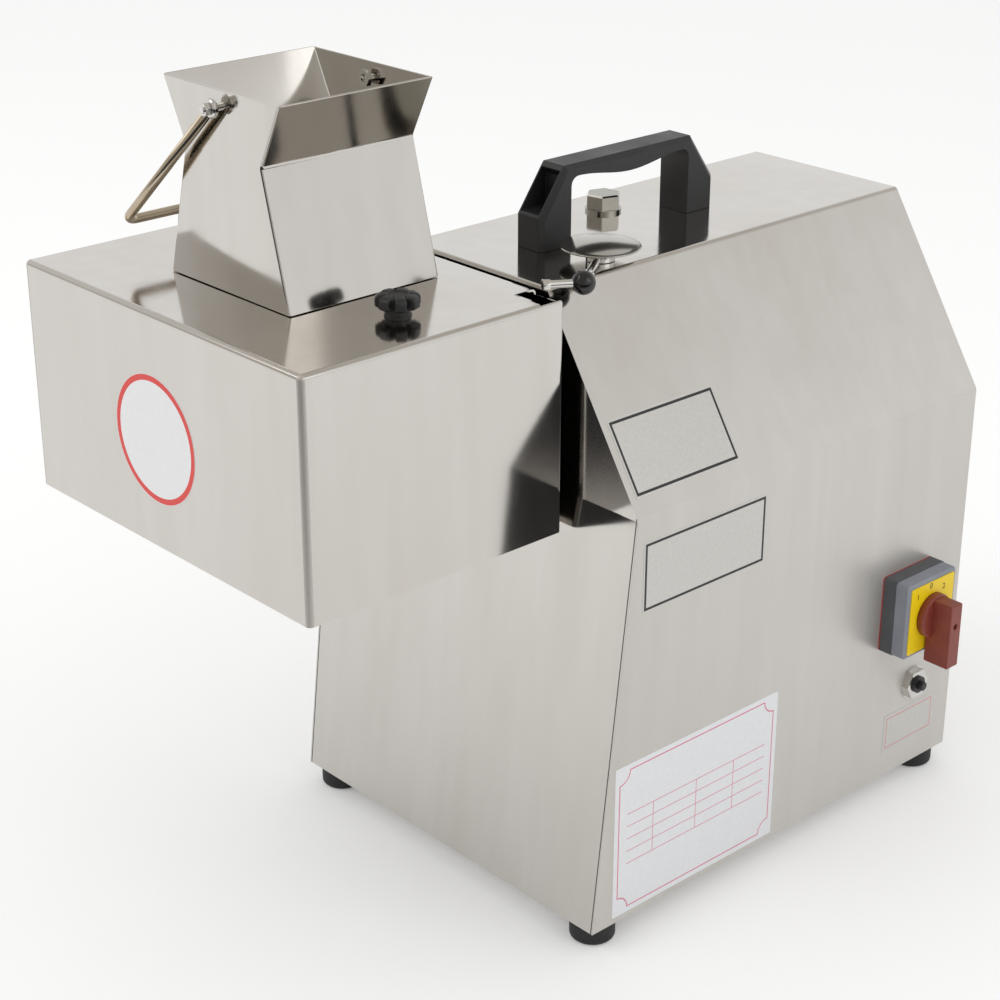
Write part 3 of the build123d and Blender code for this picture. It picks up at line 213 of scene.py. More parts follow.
def turnedMetal(name, look):
    paint = Paint(name)
    grain = paint.noise(look["grainScale"], look.get("grainStretch", (1, 1, 1)))
    smear = paint.noise(look["smearScale"], detail=2.0, rough=0.5)
    colour = paint.blend(paint.spread(smear, 0.3, 0.7), look["colour"], look["otherColour"])
    return paint.set(Base_Color=colour, Metallic=1.0,
                     Roughness=look["roughness"] + grain * look["grainRoughness"],
                     Normal=paint.bump(grain * look["grainDepth"]))


def castMetal(name, look):
    paint = Paint(name)
    pits = paint.noise(look["pitScale"], detail=5.0, rough=0.7)
    patch = paint.noise(look["patchScale"], detail=2.0, rough=0.5)
    colour = paint.blend(paint.spread(patch, 0.3, 0.7), look["colour"], look["otherColour"])
    return paint.set(Base_Color=colour, Metallic=look["metallic"],
                     Roughness=look["roughness"] + pits * look["pitRoughness"],
                     Normal=paint.bump(pits * look["pitDepth"]))


def mouldedPlastic(name, look):
    paint = Paint(name)
    grain = paint.noise(look["grainScale"], detail=2.0)
    wear = paint.noise(look["wearScale"], detail=4.0)
    colour = paint.blend(paint.spread(wear, 0.45, 0.75), look["colour"], look["wornColour"])
    roughness = look["roughness"] + paint.spread(wear, 0.3, 0.8) * look["wearRoughness"]
    return paint.set(Base_Color=colour, Roughness=roughness, Normal=paint.bump(grain * look["grainDepth"]))


def copperWinding(name, look):
    paint = Paint(name)
    turns = paint.node("ShaderNodeTexWave", {"wave_type": "RINGS", "rings_direction": "Y"},
                       Vector=paint.place(), Scale=look["turnScale"], Distortion=look["turnSway"])
    colour = paint.blend(turns, look["colour"], look["otherColour"])
    return paint.set(Base_Color=colour, Metallic=look["metallic"],
                     Roughness=look["roughness"] + turns * look["turnRoughness"],
                     Normal=paint.bump(turns * look["turnDepth"]))


finishLooks = {
    "polished_steel": (polishedSheet, {
        "colour": (0.605, 0.585, 0.555), "warmColour": (0.565, 0.535, 0.50), "roughness": 0.05,
        "cloudScale": 5.0, "cloudStretch": (1.6, 1.6, 0.5), "hazeRoughness": 0.10,
        "streakColour": (0.49, 0.46, 0.425), "streakScale": 60.0, "streakStretch": (1.0, 1.0, 0.06),
        "streakTone": 0.25, "streakRoughness": 0.05, "lineDepth": 0.00002, "swayScale": 9.0,
        "swayDepth": 0.0005}),
    "bright_steel": (turnedMetal, {
        "colour": (0.66, 0.65, 0.63), "otherColour": (0.60, 0.585, 0.56), "grainScale": 900.0,
        "grainStretch": (1, 0.1, 1), "smearScale": 30.0, "roughness": 0.09, "grainRoughness": 0.07,
        "grainDepth": 0.000004}),
    "tool_steel": (turnedMetal, {
        "colour": (0.52, 0.52, 0.515), "otherColour": (0.45, 0.45, 0.445), "grainScale": 700.0,
        "grainDepth": 0.00001, "smearScale": 25.0, "roughness": 0.2, "grainRoughness": 0.15}),
    "gear_steel": (turnedMetal, {
        "colour": (0.36, 0.36, 0.355), "otherColour": (0.29, 0.285, 0.28), "grainScale": 500.0,
        "grainDepth": 0.00002, "smearScale": 20.0, "roughness": 0.28, "grainRoughness": 0.2}),
    "cast_metal": (castMetal, {
        "colour": (0.36, 0.365, 0.37), "otherColour": (0.29, 0.295, 0.30), "patchScale": 12.0,
        "pitScale": 450.0, "pitDepth": 0.0003, "pitRoughness": 0.2, "metallic": 0.7, "roughness": 0.45}),
    "motor_paint": (castMetal, {
        "colour": (0.045, 0.065, 0.085), "otherColour": (0.035, 0.05, 0.07), "patchScale": 14.0,
        "pitScale": 350.0, "pitDepth": 0.0001, "pitRoughness": 0.2, "metallic": 0.0, "roughness": 0.38}),
    "copper": (copperWinding, {
        "colour": (0.55, 0.22, 0.09), "otherColour": (0.35, 0.12, 0.05), "metallic": 0.6, "roughness": 0.35,
        "turnScale": 90.0, "turnSway": 1.5, "turnDepth": 0.0004, "turnRoughness": 0.1}),
    "black_rubber": (mouldedPlastic, {
        "colour": (0.008, 0.008, 0.009), "wornColour": (0.022, 0.022, 0.022), "grainScale": 700.0,
        "grainDepth": 0.00012, "wearScale": 40.0, "roughness": 0.55, "wearRoughness": 0.25}),
    "black_plastic": (mouldedPlastic, {
        "colour": (0.010, 0.010, 0.011), "wornColour": (0.020, 0.020, 0.021), "grainScale": 1400.0,
        "grainDepth": 0.00005, "wearScale": 30.0, "roughness": 0.38, "wearRoughness": 0.15}),
    "gloss_black": (mouldedPlastic, {
        "colour": (0.006, 0.006, 0.006), "wornColour": (0.012, 0.012, 0.012), "grainScale": 200.0,
        "grainDepth": 0.000004, "wearScale": 60.0, "roughness": 0.06, "wearRoughness": 0.06}),
    "light_grey_plastic": (mouldedPlastic, {
        "colour": (0.235, 0.25, 0.29), "wornColour": (0.275, 0.29, 0.33), "grainScale": 900.0,
        "grainDepth": 0.00003, "wearScale": 35.0, "roughness": 0.4, "wearRoughness": 0.12}),
    "dark_grey_plastic": (mouldedPlastic, {
        "colour": (0.075, 0.08, 0.086), "wornColour": (0.095, 0.10, 0.108), "grainScale": 900.0,
        "grainDepth": 0.00003, "wearScale": 35.0, "roughness": 0.42, "wearRoughness": 0.12}),
    "red_gasket": (mouldedPlastic, {
        "colour": (0.30, 0.02, 0.02), "wornColour": (0.36, 0.04, 0.035), "grainScale": 600.0,
        "grainDepth": 0.00004, "wearScale": 40.0, "roughness": 0.5, "wearRoughness": 0.1}),
    "yellow_plastic": (mouldedPlastic, {
        "colour": (0.90, 0.64, 0.004), "wornColour": (0.93, 0.68, 0.012), "grainScale": 900.0,
        "grainDepth": 0.00001, "wearScale": 30.0, "roughness": 0.35, "wearRoughness": 0.1}),
    "red_brown_plastic": (mouldedPlastic, {
        "colour": (0.215, 0.038, 0.024), "wornColour": (0.27, 0.058, 0.04), "grainScale": 900.0,
        "grainDepth": 0.00003, "wearScale": 60.0, "roughness": 0.36, "wearRoughness": 0.14}),
    "white_nylon": (mouldedPlastic, {
        "colour": (0.78, 0.77, 0.73), "wornColour": (0.70, 0.69, 0.64), "grainScale": 500.0,
        "grainDepth": 0.00003, "wearScale": 25.0, "roughness": 0.45, "wearRoughness": 0.1}),
    "capacitor_can": (turnedMetal, {
        "colour": (0.60, 0.61, 0.62), "otherColour": (0.55, 0.56, 0.57), "grainScale": 600.0,
        "grainStretch": (1, 1, 0.05), "smearScale": 30.0, "roughness": 0.3, "grainRoughness": 0.1,
        "grainDepth": 0.00001}),
}

finishes = {slotName: make(slotName, look) for slotName, (make, look) in finishLooks.items()}

# Single pieces with a finish of their own, as changes to the sheet's or the bright steel's
sheetLook, steelLook = finishLooks["polished_steel"][1], finishLooks["bright_steel"][1]
casingLook = dict(sheetLook, satin=0.22, satinDull=0.5, sideSkin=0.0005, seamFrom=0.0024, seamTo=0.0013,
                  seamDeep=0.05, seamHigh=0.337, seamColour=(0.10, 0.105, 0.10), seamRoughness=0.25)
coverLook = dict(sheetLook, foldReach=0.0042, foldHaze=0.42)
bailSteelLook = dict(steelLook, colour=(0.55, 0.475, 0.37), otherColour=(0.44, 0.37, 0.28), roughness=0.14)
# The clamp knob's steel is toned darker and olive: a painted reflection of dark olive surroundings
knobDarkReflectionLook = dict(steelLook, colour=(0.43, 0.415, 0.375), otherColour=(0.38, 0.365, 0.33), roughness=0.10)
plugSteelLook = dict(steelLook, colour=(0.37, 0.355, 0.32), otherColour=(0.31, 0.295, 0.265), roughness=0.16)
ownFinishes = {"housing_shell": polishedSheet("casingSheet", casingLook),
               "cutter_cover": polishedSheet("coverSheet", coverLook),
               "oil_plug": turnedMetal("plugSteel", plugSteelLook)}
bailSteel = turnedMetal("bailSteel", bailSteelLook)
knobDarkReflectionSteel = turnedMetal("knobDarkReflectionSteel", knobDarkReflectionLook)

for part in frame["record"]["subparts"]:
    target = nodes[part["node"]]
    target.data.materials.clear()
    target.data.materials.append(ownFinishes.get(part["node"], finishes[part["material_slot"]]))
print("finishes on", len(nodes), "nodes")


# The floor, whose dark far side only glossy rays see: a painted reflection in the polished steel; a soft sky,
# which glossy rays see darker and olive up high and towards the front, also a painted reflection; and two
# lamps
stageLook = {"floorSize": 14.0, "floorColour": (0.90, 0.90, 0.895), "floorRoughness": 0.7, "floorShown": 0.19,
             "floorMirrored": 0.21, "reflectionDarkColour": (0.03, 0.031, 0.036), "farWay": (0.62, -0.78),
             "farStart": 0.76, "farEnd": 1.06, "skyStrength": 0.80, "paleSky": (1.0, 1.0, 1.0),
             "reflectedOliveSky": (0.60, 0.575, 0.53), "highStart": 0.36, "highEnd": 0.70, "frontStart": 0.25,
             "frontEnd": 0.60}
lampLooks = {"keyLamp": {"power": 24.0, "size": 2.4, "place": (-1.6, -2.2, 3.0), "aim": (0, 0, 0.3)},
             "sideLamp": {"power": 12.0, "size": 2.0, "place": (2.6, 0.6, 2.2), "aim": (0, 0, 0.3)}}


def studioFloor(look):
    mesh = bpy.data.meshes.new("studioFloor")
    half = look["floorSize"] / 2
    corners = [(x * half, y * half, 0) for x, y in ((-1, -1), (1, -1), (1, 1), (-1, 1))]
    mesh.from_pydata(corners, [], [(0, 1, 2, 3)])
    floor = bpy.data.objects.new("studioFloor", mesh)
    scene.collection.objects.link(floor)
    paint = Paint("studioFloor")
    shown = paint.node("ShaderNodeLightPath")
    mirrored = shown.also("Is Glossy Ray")
    across = paint.apart(paint.node("ShaderNodeTexCoord", out=3))
    # Painted reflection: only glossy rays see the floor's far side dark, so the polished steel mirrors a dark
    # patch; camera and diffuse rays see the plain floor
    towards = across * look["farWay"][0] + across.also("Y") * look["farWay"][1]
    far = paint.spread(towards, look["farStart"], look["farEnd"])
    tone = paint.blend(mirrored * far, look["floorColour"], look["reflectionDarkColour"])
    glow = shown * look["floorShown"] + mirrored * look["floorMirrored"]
    mesh.materials.append(paint.set(Base_Color=tone, Roughness=look["floorRoughness"], Specular_IOR_Level=0.0,
                                    Emission_Color=tone, Emission_Strength=glow))


def studioSky(look):
    world = bpy.data.worlds.new("studioSky")
    scene.world = world
    world.use_nodes = True
    sky = Sketch(world.node_tree)
    out = sky.tree.nodes.new("ShaderNodeOutputWorld")
    light = sky.tree.nodes.new("ShaderNodeBackground")
    seen = sky.node("ShaderNodeLightPath")
    glossy = seen.also("Is Glossy Ray")
    way = sky.apart(sky.node("ShaderNodeTexCoord"))
    # Painted reflection: glossy rays see the sky darker and olive up high and towards the front, so only the
    # polished steel shows it
    high = sky.spread(way.also("Z"), look["highStart"], look["highEnd"])
    front = sky.spread(0.0 - way.also("Y"), look["frontStart"], look["frontEnd"])
    dim = sky.clamp(high + front)
    sky.plug(light.inputs["Color"], sky.blend(glossy * dim, look["paleSky"], look["reflectedOliveSky"]))
    sky.plug(light.inputs["Strength"], sky.spread(sky.most(seen, glossy), 0.0, 1.0, look["skyStrength"], 1.0))
    sky.tree.links.new(light.outputs[0], out.inputs[0])


def softLamp(name, look):
    data = bpy.data.lights.new(name, "AREA")
    data.energy = look["power"]
    data.size = look["size"]
    lamp = bpy.data.objects.new(name, data)
    scene.collection.objects.link(lamp)
    lamp.location = look["place"]
    lamp.rotation_euler = (Vector(look["aim"]) - Vector(look["place"])).to_track_quat("-Z", "Y").to_euler()


studioFloor(stageLook)
studioSky(stageLook)
for lampName, lampLook in lampLooks.items():
    softLamp(lampName, lampLook)
print("stage ready")


# A mesh piece, made in its place: it rides a body and takes its slot's finish, or a finish of its own
def addPiece(name, mesh, body, slotName, smooth=False, material=None):
    piece = bpy.data.objects.new(name, mesh)
    scene.collection.objects.link(piece)
    if smooth:
        mesh.shade_smooth()
    mesh.materials.clear()
    mesh.materials.append(material or finishes[slotName])
    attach(piece, body)
    return piece


def meshFrom(name, verts, faces):
    mesh = bpy.data.meshes.new(name)
    mesh.from_pydata([tuple(v) for v in verts], [], faces)
    work = bmesh.new()
    work.from_mesh(mesh)
    bmesh.ops.recalc_face_normals(work, faces=work.faces)
    work.to_mesh(mesh)
    work.free()
    return mesh


# An open shell's faces, turned outwards where most of them point at its middle
def faceOut(mesh, centre):
    outward = sum((face.center - centre).dot(face.normal) * face.area for face in mesh.polygons)
    if outward < 0:
        mesh.flip_normals()


# Rings of points joined into a skin, closed at both ends
def skin(rings, closed=True):
    count = len(rings[0])
    verts = [point for ring in rings for point in ring]
    faces = []
    for level in range(len(rings) - 1):
        low, high = level * count, (level + 1) * count
        for i in range(count):
            j = (i + 1) % count
            faces.append((low + i, low + j, high + j, high + i))
    if closed:
        faces.append(tuple(reversed(range(count))))
        last = (len(rings) - 1) * count
        faces.append(tuple(last + i for i in range(count)))
    return verts, faces


def prism(outline, low, high, place):
    return skin([[place(low, u, v) for u, v in outline], [place(high, u, v) for u, v in outline]])


def carved(name, mesh, cutters):
    piece = bpy.data.objects.new(name, mesh)
    scene.collection.objects.link(piece)
    tools = []
    for index, (verts, faces) in enumerate(cutters):
        tool = bpy.data.objects.new(f"{name}Cutter{index}", meshFrom(f"{name}Cutter{index}", verts, faces))
        scene.collection.objects.link(tool)
        cut = piece.modifiers.new(f"cut{index}", "BOOLEAN")
        cut.operation = "DIFFERENCE"
        cut.solver = "EXACT"
        cut.object = tool
        tools.append(tool)
    bpy.context.view_layer.update()
    result = bpy.data.meshes.new_from_object(piece.evaluated_get(bpy.context.evaluated_depsgraph_get()))
    for used in [piece] + tools:
        data = used.data
        bpy.data.objects.remove(used)
        bpy.data.meshes.remove(data)
    result.name = name
    return result


def soften(piece, width, segments=2, angle=30.0):
    bevel = piece.modifiers.new("soften", "BEVEL")
    bevel.width = width
    bevel.segments = segments
    bevel.limit_method = "ANGLE"
    bevel.angle_limit = math.radians(angle)
    bevel.harden_normals = True
    piece.data.shade_smooth()


# A path of points with each corner rounded on its radius
def bentPath(points, radii, steps=8):
    points = [Vector(p) for p in points]
    path = [points[0]]
    for before, corner, after, radius in zip(points, points[1:], points[2:], radii):
        inward, outward = (before - corner).normalized(), (after - corner).normalized()
        half = inward.angle(outward) / 2
        run = radius / math.tan(half)
        centre = corner + (inward + outward).normalized() * (radius / math.sin(half))
        start, end = corner + inward * run - centre, corner + outward * run - centre
        sweep = start.angle(end)
        axis = start.cross(end).normalized()
        for i in range(steps + 1):
            turned = start.copy()
            turned.rotate(Quaternion(axis, sweep * i / steps))
            path.append(centre + turned)
    path.append(points[-1])
    return path


# A round bar along a path
def barMesh(name, path, radius, sides):
    rings = []
    across = None
    for index, point in enumerate(path):
        before, after = path[max(index - 1, 0)], path[min(index + 1, len(path) - 1)]
        way = (after - before).normalized()
        across = way.orthogonal() if across is None else across - way * across.dot(way)
        across.normalize()
        other = way.cross(across)
        turns = [2 * math.pi * i / sides for i in range(sides)]
        rings.append([point + across * radius * math.cos(a) + other * radius * math.sin(a) for a in turns])
    return meshFrom(name, *skin(rings))


# A turned shape: a step of its profile is a radius, a height and how deep the hollows between lobes are cut
def turned(profile, centre, axis=(0, 0, 1), sides=48, lobes=0, lobeDepth=0.0, phase=0.0):
    axis = Vector(axis).normalized()
    across = Vector((0, 1, 0)).cross(axis)
    if across.length < 0.1:
        across = Vector((1, 0, 0))
    across.normalize()
    other = axis.cross(across)
    rings = []
    for radius, height, scallop in profile:
        ring = []
        for i in range(sides):
            a = 2 * math.pi * i / sides
            dip = max(0.0, math.cos(a * lobes + phase)) ** 1.5 * lobeDepth * scallop
            out = across * math.cos(a) + other * math.sin(a)
            ring.append(Vector(centre) + axis * height + out * (radius - dip))
        rings.append(ring)
    return skin(rings)


# A six sided nut whose corners are turned off at both ends
nutLook = {"steps": 24, "chamfer": 0.14, "endRound": 1.02}


def hexNut(centre, axis, flats, length):
    axis = Vector(axis).normalized()
    across = axis.orthogonal().normalized()
    other = axis.cross(across)
    rings = []
    for share in (0.0, nutLook["chamfer"], 1 - nutLook["chamfer"], 1.0):
        ring = []
        for i in range(nutLook["steps"]):
            a = 2 * math.pi * i / nutLook["steps"]
            inSector = (a + math.pi / 6) % (math.pi / 3) - math.pi / 6
            reach = flats / 2 / math.cos(inSector)
            if share in (0.0, 1.0):
                reach = min(reach, flats / 2 * nutLook["endRound"])
            out = across * math.cos(a) + other * math.sin(a)
            ring.append(Vector(centre) + axis * (length * share) + out * reach)
        rings.append(ring)
    return skin(rings)


def merged(*parts):
    verts, faces = [], []
    for moreVerts, moreFaces in parts:
        start = len(verts)
        verts += moreVerts
        faces += [tuple(start + i for i in face) for face in moreFaces]
    return verts, faces


# The carry handle: upright legs, sloped ends with open pockets, and a flat grip with a belly
handleLook = {"shoulder": 0.026, "inset": 0.026, "leg": 0.031, "grip": 0.009, "belly": 0.006,
              "bellySteps": 24, "chamfer": 0.004, "chamferSlope": 0.45, "corner": 0.007,
              "cornerAngles": (180, 157, 135, 112), "rim": 0.0034, "rimChamfer": 0.4, "pocketFloor": 0.002,
              "pocketLip": 0.88, "beyond": 0.01, "edge": 0.0015, "edgeAngle": 25.0}


def carryHandle(look):
    low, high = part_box("carry_handle")
    midX, half = (low[0] + high[0]) / 2, (high[0] - low[0]) / 2
    front, rear, base, top = low[1], high[1], low[2], high[2]
    shoulder, inset, cut = base + look["shoulder"], look["inset"], look["chamfer"]

    def onSide(x, y, z):
        return Vector((x, y, z))

    full = [(front, base), (front, shoulder), (front + inset, top),
            (rear - inset, top), (rear, shoulder), (rear, base)]
    slope = cut * look["chamferSlope"]
    small = [(front + cut, base), (front + cut, shoulder - slope), (front + inset + slope, top - cut),
             (rear - inset - slope, top - cut), (rear - cut, shoulder - slope), (rear - cut, base)]
    slices = ((-half, small), (-half + cut, full), (half - cut, full), (half, small))
    rings = [[onSide(midX + x, y, z) for y, z in outline] for x, outline in slices]
    block = meshFrom("carryHandle", *skin(rings))

    # The opening under the grip, with rounded corners and the grip's belly
    ceiling, corner, leg, beyond = top - look["grip"], look["corner"], look["leg"], look["beyond"]
    near, far, steps = front + leg + corner, rear - leg - corner, look["bellySteps"]
    swell = [(near + (far - near) * i / steps, ceiling - look["belly"] * math.sin(math.pi * i / steps) ** 2)
             for i in range(steps + 1)]
    angles = [math.radians(a) for a in look["cornerAngles"]]
    turn = [(math.cos(a) * corner, math.sin(a) * corner) for a in angles]
    left = [(near + dx, ceiling - corner + dz) for dx, dz in turn]
    right = [(far - dx, ceiling - corner + dz) for dx, dz in reversed(turn)]
    window = [(front + leg, base - beyond)] + left + swell + right + [(rear - leg, base - beyond)]
    cutters = [prism(window, midX - half - beyond, midX + half + beyond, onSide)]

    # A pocket in each sloped end
    inner, floor = half - look["rim"] - cut * look["rimChamfer"], shoulder + look["pocketFloor"]
    for end, side in ((front, 1), (rear, -1)):
        back, lip = end + side * (leg - look["rim"]), end + side * inset * look["pocketLip"]
        out, high = end - side * 2 * beyond, top - look["rim"]
        pocket = [(out, floor), (back, floor), (back, ceiling), (lip, high), (out, high)]
        cutters.append(prism(pocket, midX - inner, midX + inner, onSide))
    piece = addPiece("carryHandle", carved("carryHandle", block, cutters), "drive_unit", "black_plastic")
    soften(piece, look["edge"], 2, look["edgeAngle"])
    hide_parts("carry_handle")


carryHandle(handleLook)


# The star grip on the cutter head: rounded lobes on a short neck, its stud going down through the cover
starLook = {"lobes": 7, "lobeDepth": 0.0052, "phase": 0.6, "sides": 168, "headLow": 0.0062, "height": 0.0158,
            "neckRadius": 0.0098, "neckSteps": [(0.4, 0.0), (1.0, 0.0), (1.0, 0.0012), (0.93, 0.002)],
            "neckWaist": 0.93, "lowRim": [(0.002, 0.0), (0.0, 0.0015)],
            "highRim": [(0.0, 0.0035), (0.0007, 0.0017), (0.0025, 0.0004)], "crown": 0.005,
            "crownScallop": 0.8, "hubRadius": 0.0075, "hubDip": 0.0008, "hubTaper": 0.9,
            "studRadius": 0.004, "studSides": 24, "edge": 0.0004}


def starGrip(look):
    low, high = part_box("star_knob")
    centre = Vector(((low[0] + high[0]) / 2, (low[1] + high[1]) / 2, coverHigh[2]))
    radius, top, under = (high[1] - low[1]) / 2, look["height"], look["headLow"]
    neck, hub = look["neckRadius"], look["hubRadius"]
    profile = [(neck * share, height, 0) for share, height in look["neckSteps"]]
    profile.append((neck * look["neckWaist"], under, 0))
    profile += [(radius - inset, under + rise, 1.0) for inset, rise in look["lowRim"]]
    profile += [(radius - inset, top - drop, 1.0) for inset, drop in look["highRim"]]
    profile.append((radius - look["crown"], top, look["crownScallop"]))
    profile += [(hub, top, 0.0), (hub * look["hubTaper"], top - look["hubDip"], 0.0)]
    head = turned(profile, centre, sides=look["sides"], lobes=look["lobes"], lobeDepth=look["lobeDepth"],
                  phase=look["phase"])
    stud = turned([(look["studRadius"], height, 0) for height in (low[2] - coverHigh[2], 0.0)], centre,
                  sides=look["studSides"])
    piece = addPiece("starGrip", meshFrom("starGrip", *merged(head, stud)), "cover_knob", "black_plastic")
    soften(piece, look["edge"], 2, 40.0)
    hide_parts("star_knob")


starGrip(starLook)


# The clamp's knob: a shallow dome on a coned underside
knobLook = {"edge": 0.0012, "rim": 0.0026, "under": 0.007, "cone": 0.0048, "coneInset": 0.004,
            "lowInset": 0.0006, "highInset": 0.0004, "lip": 0.0002, "hub": 0.011, "bore": 0.0055,
            "domeSteps": 8, "domeShare": 0.96, "tip": 0.01, "sides": 96}


def clampKnob(look):
    low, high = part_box("lock_knob")
    centre = Vector(((low[0] + high[0]) / 2, (low[1] + high[1]) / 2, high[2]))
    radius, rim, edge = (high[0] - low[0]) / 2, look["rim"], look["edge"]
    profile = [(look["bore"], -look["under"], 0), (look["hub"], -look["under"], 0),
               (radius - look["coneInset"], -look["cone"], 0), (radius - look["lowInset"], -rim - edge, 0),
               (radius, -rim - edge * 0.5, 0), (radius - look["highInset"], -rim + look["lip"], 0)]
    for step in range(look["domeSteps"] + 1):
        share = look["domeShare"] * (1 - step / look["domeSteps"]) + look["tip"]
        profile.append((radius * share, -rim * share ** 2, 0))
    mesh = meshFrom("clampKnob", *turned(profile, centre, sides=look["sides"]))
    piece = addPiece("clampKnob", mesh, "lock_handle", "bright_steel", smooth=True, material=knobDarkReflectionSteel)
    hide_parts("lock_knob")


clampKnob(knobLook)


# The clamp's ball with the lever's collar, and the short cross rod with a nut (its end in spot's millimetres)
leverLook = {"rodRadius": 0.003, "mouthAngle": 68, "ballStep": 6, "pole": 0.02, "collarRadius": 0.0050,
             "collar": 0.011, "collarTaper": 0.8, "collarLap": 0.0006, "collarEnd": 0.0008,
             "crossRadius": 0.0030, "crossLap": 0.001, "crossEnd": (79.5, 31.5, 490.6),
             "nutFlats": 0.0078, "nutLength": 0.0055, "edge": 0.0003}


def clampBall(look):
    low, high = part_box("lock_ball")
    screwLow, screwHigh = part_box("lock_screw")
    centre = (Vector(low) + Vector(high)) / 2
    radius = (high[0] - low[0]) / 2
    axis = centre - (Vector(screwLow) + Vector(screwHigh)) / 2
    axis.z = 0
    axis.normalize()
    steps = [math.radians(a) for a in range(-look["mouthAngle"], 91, look["ballStep"])]
    profile = [(radius * math.cos(a), radius * math.sin(a), 0) for a in steps]
    profile = [(look["rodRadius"], profile[0][1], 0)] + profile
    profile[-1] = (radius * look["pole"], radius, 0)
    ball = addPiece("clampBall", meshFrom("clampBall", *turned(profile, centre, axis, 40)), "lock_handle",
                    "gloss_black", smooth=True)
    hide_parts("lock_ball")
    start = -radius * math.sin(math.radians(look["mouthAngle"]))
    collar = [(look["rodRadius"], start - look["collar"], 0),
              (look["collarRadius"], start - look["collar"] * look["collarTaper"], 0),
              (look["collarRadius"], start + look["collarLap"], 0),
              (look["rodRadius"], start + look["collarEnd"], 0)]
    crossEnd = spot(*look["crossEnd"])
    way, reach = (crossEnd - centre).normalized(), (crossEnd - centre).length
    cross = [(look["crossRadius"], radius - look["crossLap"], 0), (look["crossRadius"], reach, 0)]
    nut = hexNut(crossEnd - way * look["nutLength"], way, look["nutFlats"], look["nutLength"])
    trim = merged(turned(collar, centre, axis, 32), turned(cross, centre, way, 20), nut)
    piece = addPiece("clampRod", meshFrom("clampRod", *trim), "lock_handle", "bright_steel")
    soften(piece, look["edge"], 2, 40.0)


clampBall(leverLook)


# The hopper: four polished walls with small corner folds, over a spigot that sits in the cover's opening
hopperLook = {"waistWidth": 0.090, "baseWidth": 0.1415, "rimWidth": 0.135, "waistDrop": 0.046,
              "seam": 0.0006, "foldRadius": 0.0022, "foldSteps": 4, "sheet": 0.0015, "spigotInset": 0.005,
              "spigot": 0.012, "waistRound": 0.0016, "waistEase": 0.18, "rimLip": 0.0005, "edge": 0.0004,
              "edgeAngle": 32.0}


def hopperShell(look):
    midX = (hopperLow[0] + hopperHigh[0]) / 2
    midY = (hopperLow[1] + hopperHigh[1]) / 2
    halfY = (hopperHigh[1] - hopperLow[1]) / 2
    top = hopperHigh[2]
    foot = coverHigh[2] + look["seam"]
    waist = top - look["waistDrop"]
    baseHalf, waistHalf, rimHalf = look["baseWidth"] / 2, look["waistWidth"] / 2, look["rimWidth"] / 2
    inset, rise = look["spigotInset"], look["waistRound"]
    lowSlope = (baseHalf - waistHalf) / (waist - foot)
    highSlope = (rimHalf - waistHalf) / (top - waist)
    levels = [(baseHalf - inset, halfY - inset, coverHigh[2] - look["spigot"]),
              (baseHalf - inset, halfY - inset, foot), (baseHalf, halfY, foot),
              (waistHalf + rise * lowSlope, halfY, waist - rise),
              (waistHalf + rise * look["waistEase"], halfY, waist),
              (waistHalf + rise * highSlope, halfY, waist + rise), (rimHalf, halfY, top - look["rimLip"])]
    rings = []
    r, steps = look["foldRadius"], look["foldSteps"]
    for halfX, deep, z in levels:
        ring = []
        for cx, cy, turn in ((1, 1, 0), (-1, 1, 90), (-1, -1, 180), (1, -1, 270)):
            for i in range(steps + 1):
                a = math.radians(turn + 90 * i / steps)
                ring.append(Vector((midX + cx * (halfX - r) + math.cos(a) * r,
                                    midY + cy * (deep - r) + math.sin(a) * r, z)))
        rings.append(ring)
    mesh = meshFrom("feedHopper", *skin(rings, closed=False))
    faceOut(mesh, Vector((midX, midY, (foot + top) / 2)))
    piece = addPiece("feedHopper", mesh, "feed_hopper", "polished_steel")
    wall = piece.modifiers.new("wall", "SOLIDIFY")
    wall.thickness = look["sheet"]
    wall.offset = -1.0
    wall.use_even_offset = True
    soften(piece, look["edge"], 2, look["edgeAngle"])
    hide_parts("hopper")


hopperShell(hopperLook)


# The hopper's bail: one bent bar, and at each side an eye on a bolt with a nut outside
bailLook = {"radius": 0.0036, "sides": 18, "standOff": 0.007, "barBend": 0.010, "eyeRadius": 0.0068,
            "eyeThick": 0.0046, "eyeChamfer": 0.0012, "nutFlats": 0.0085, "nutLength": 0.0048,
            "boltRadius": 0.0026, "boltIn": 0.013, "boltOut": 0.00112, "edge": 0.0003}


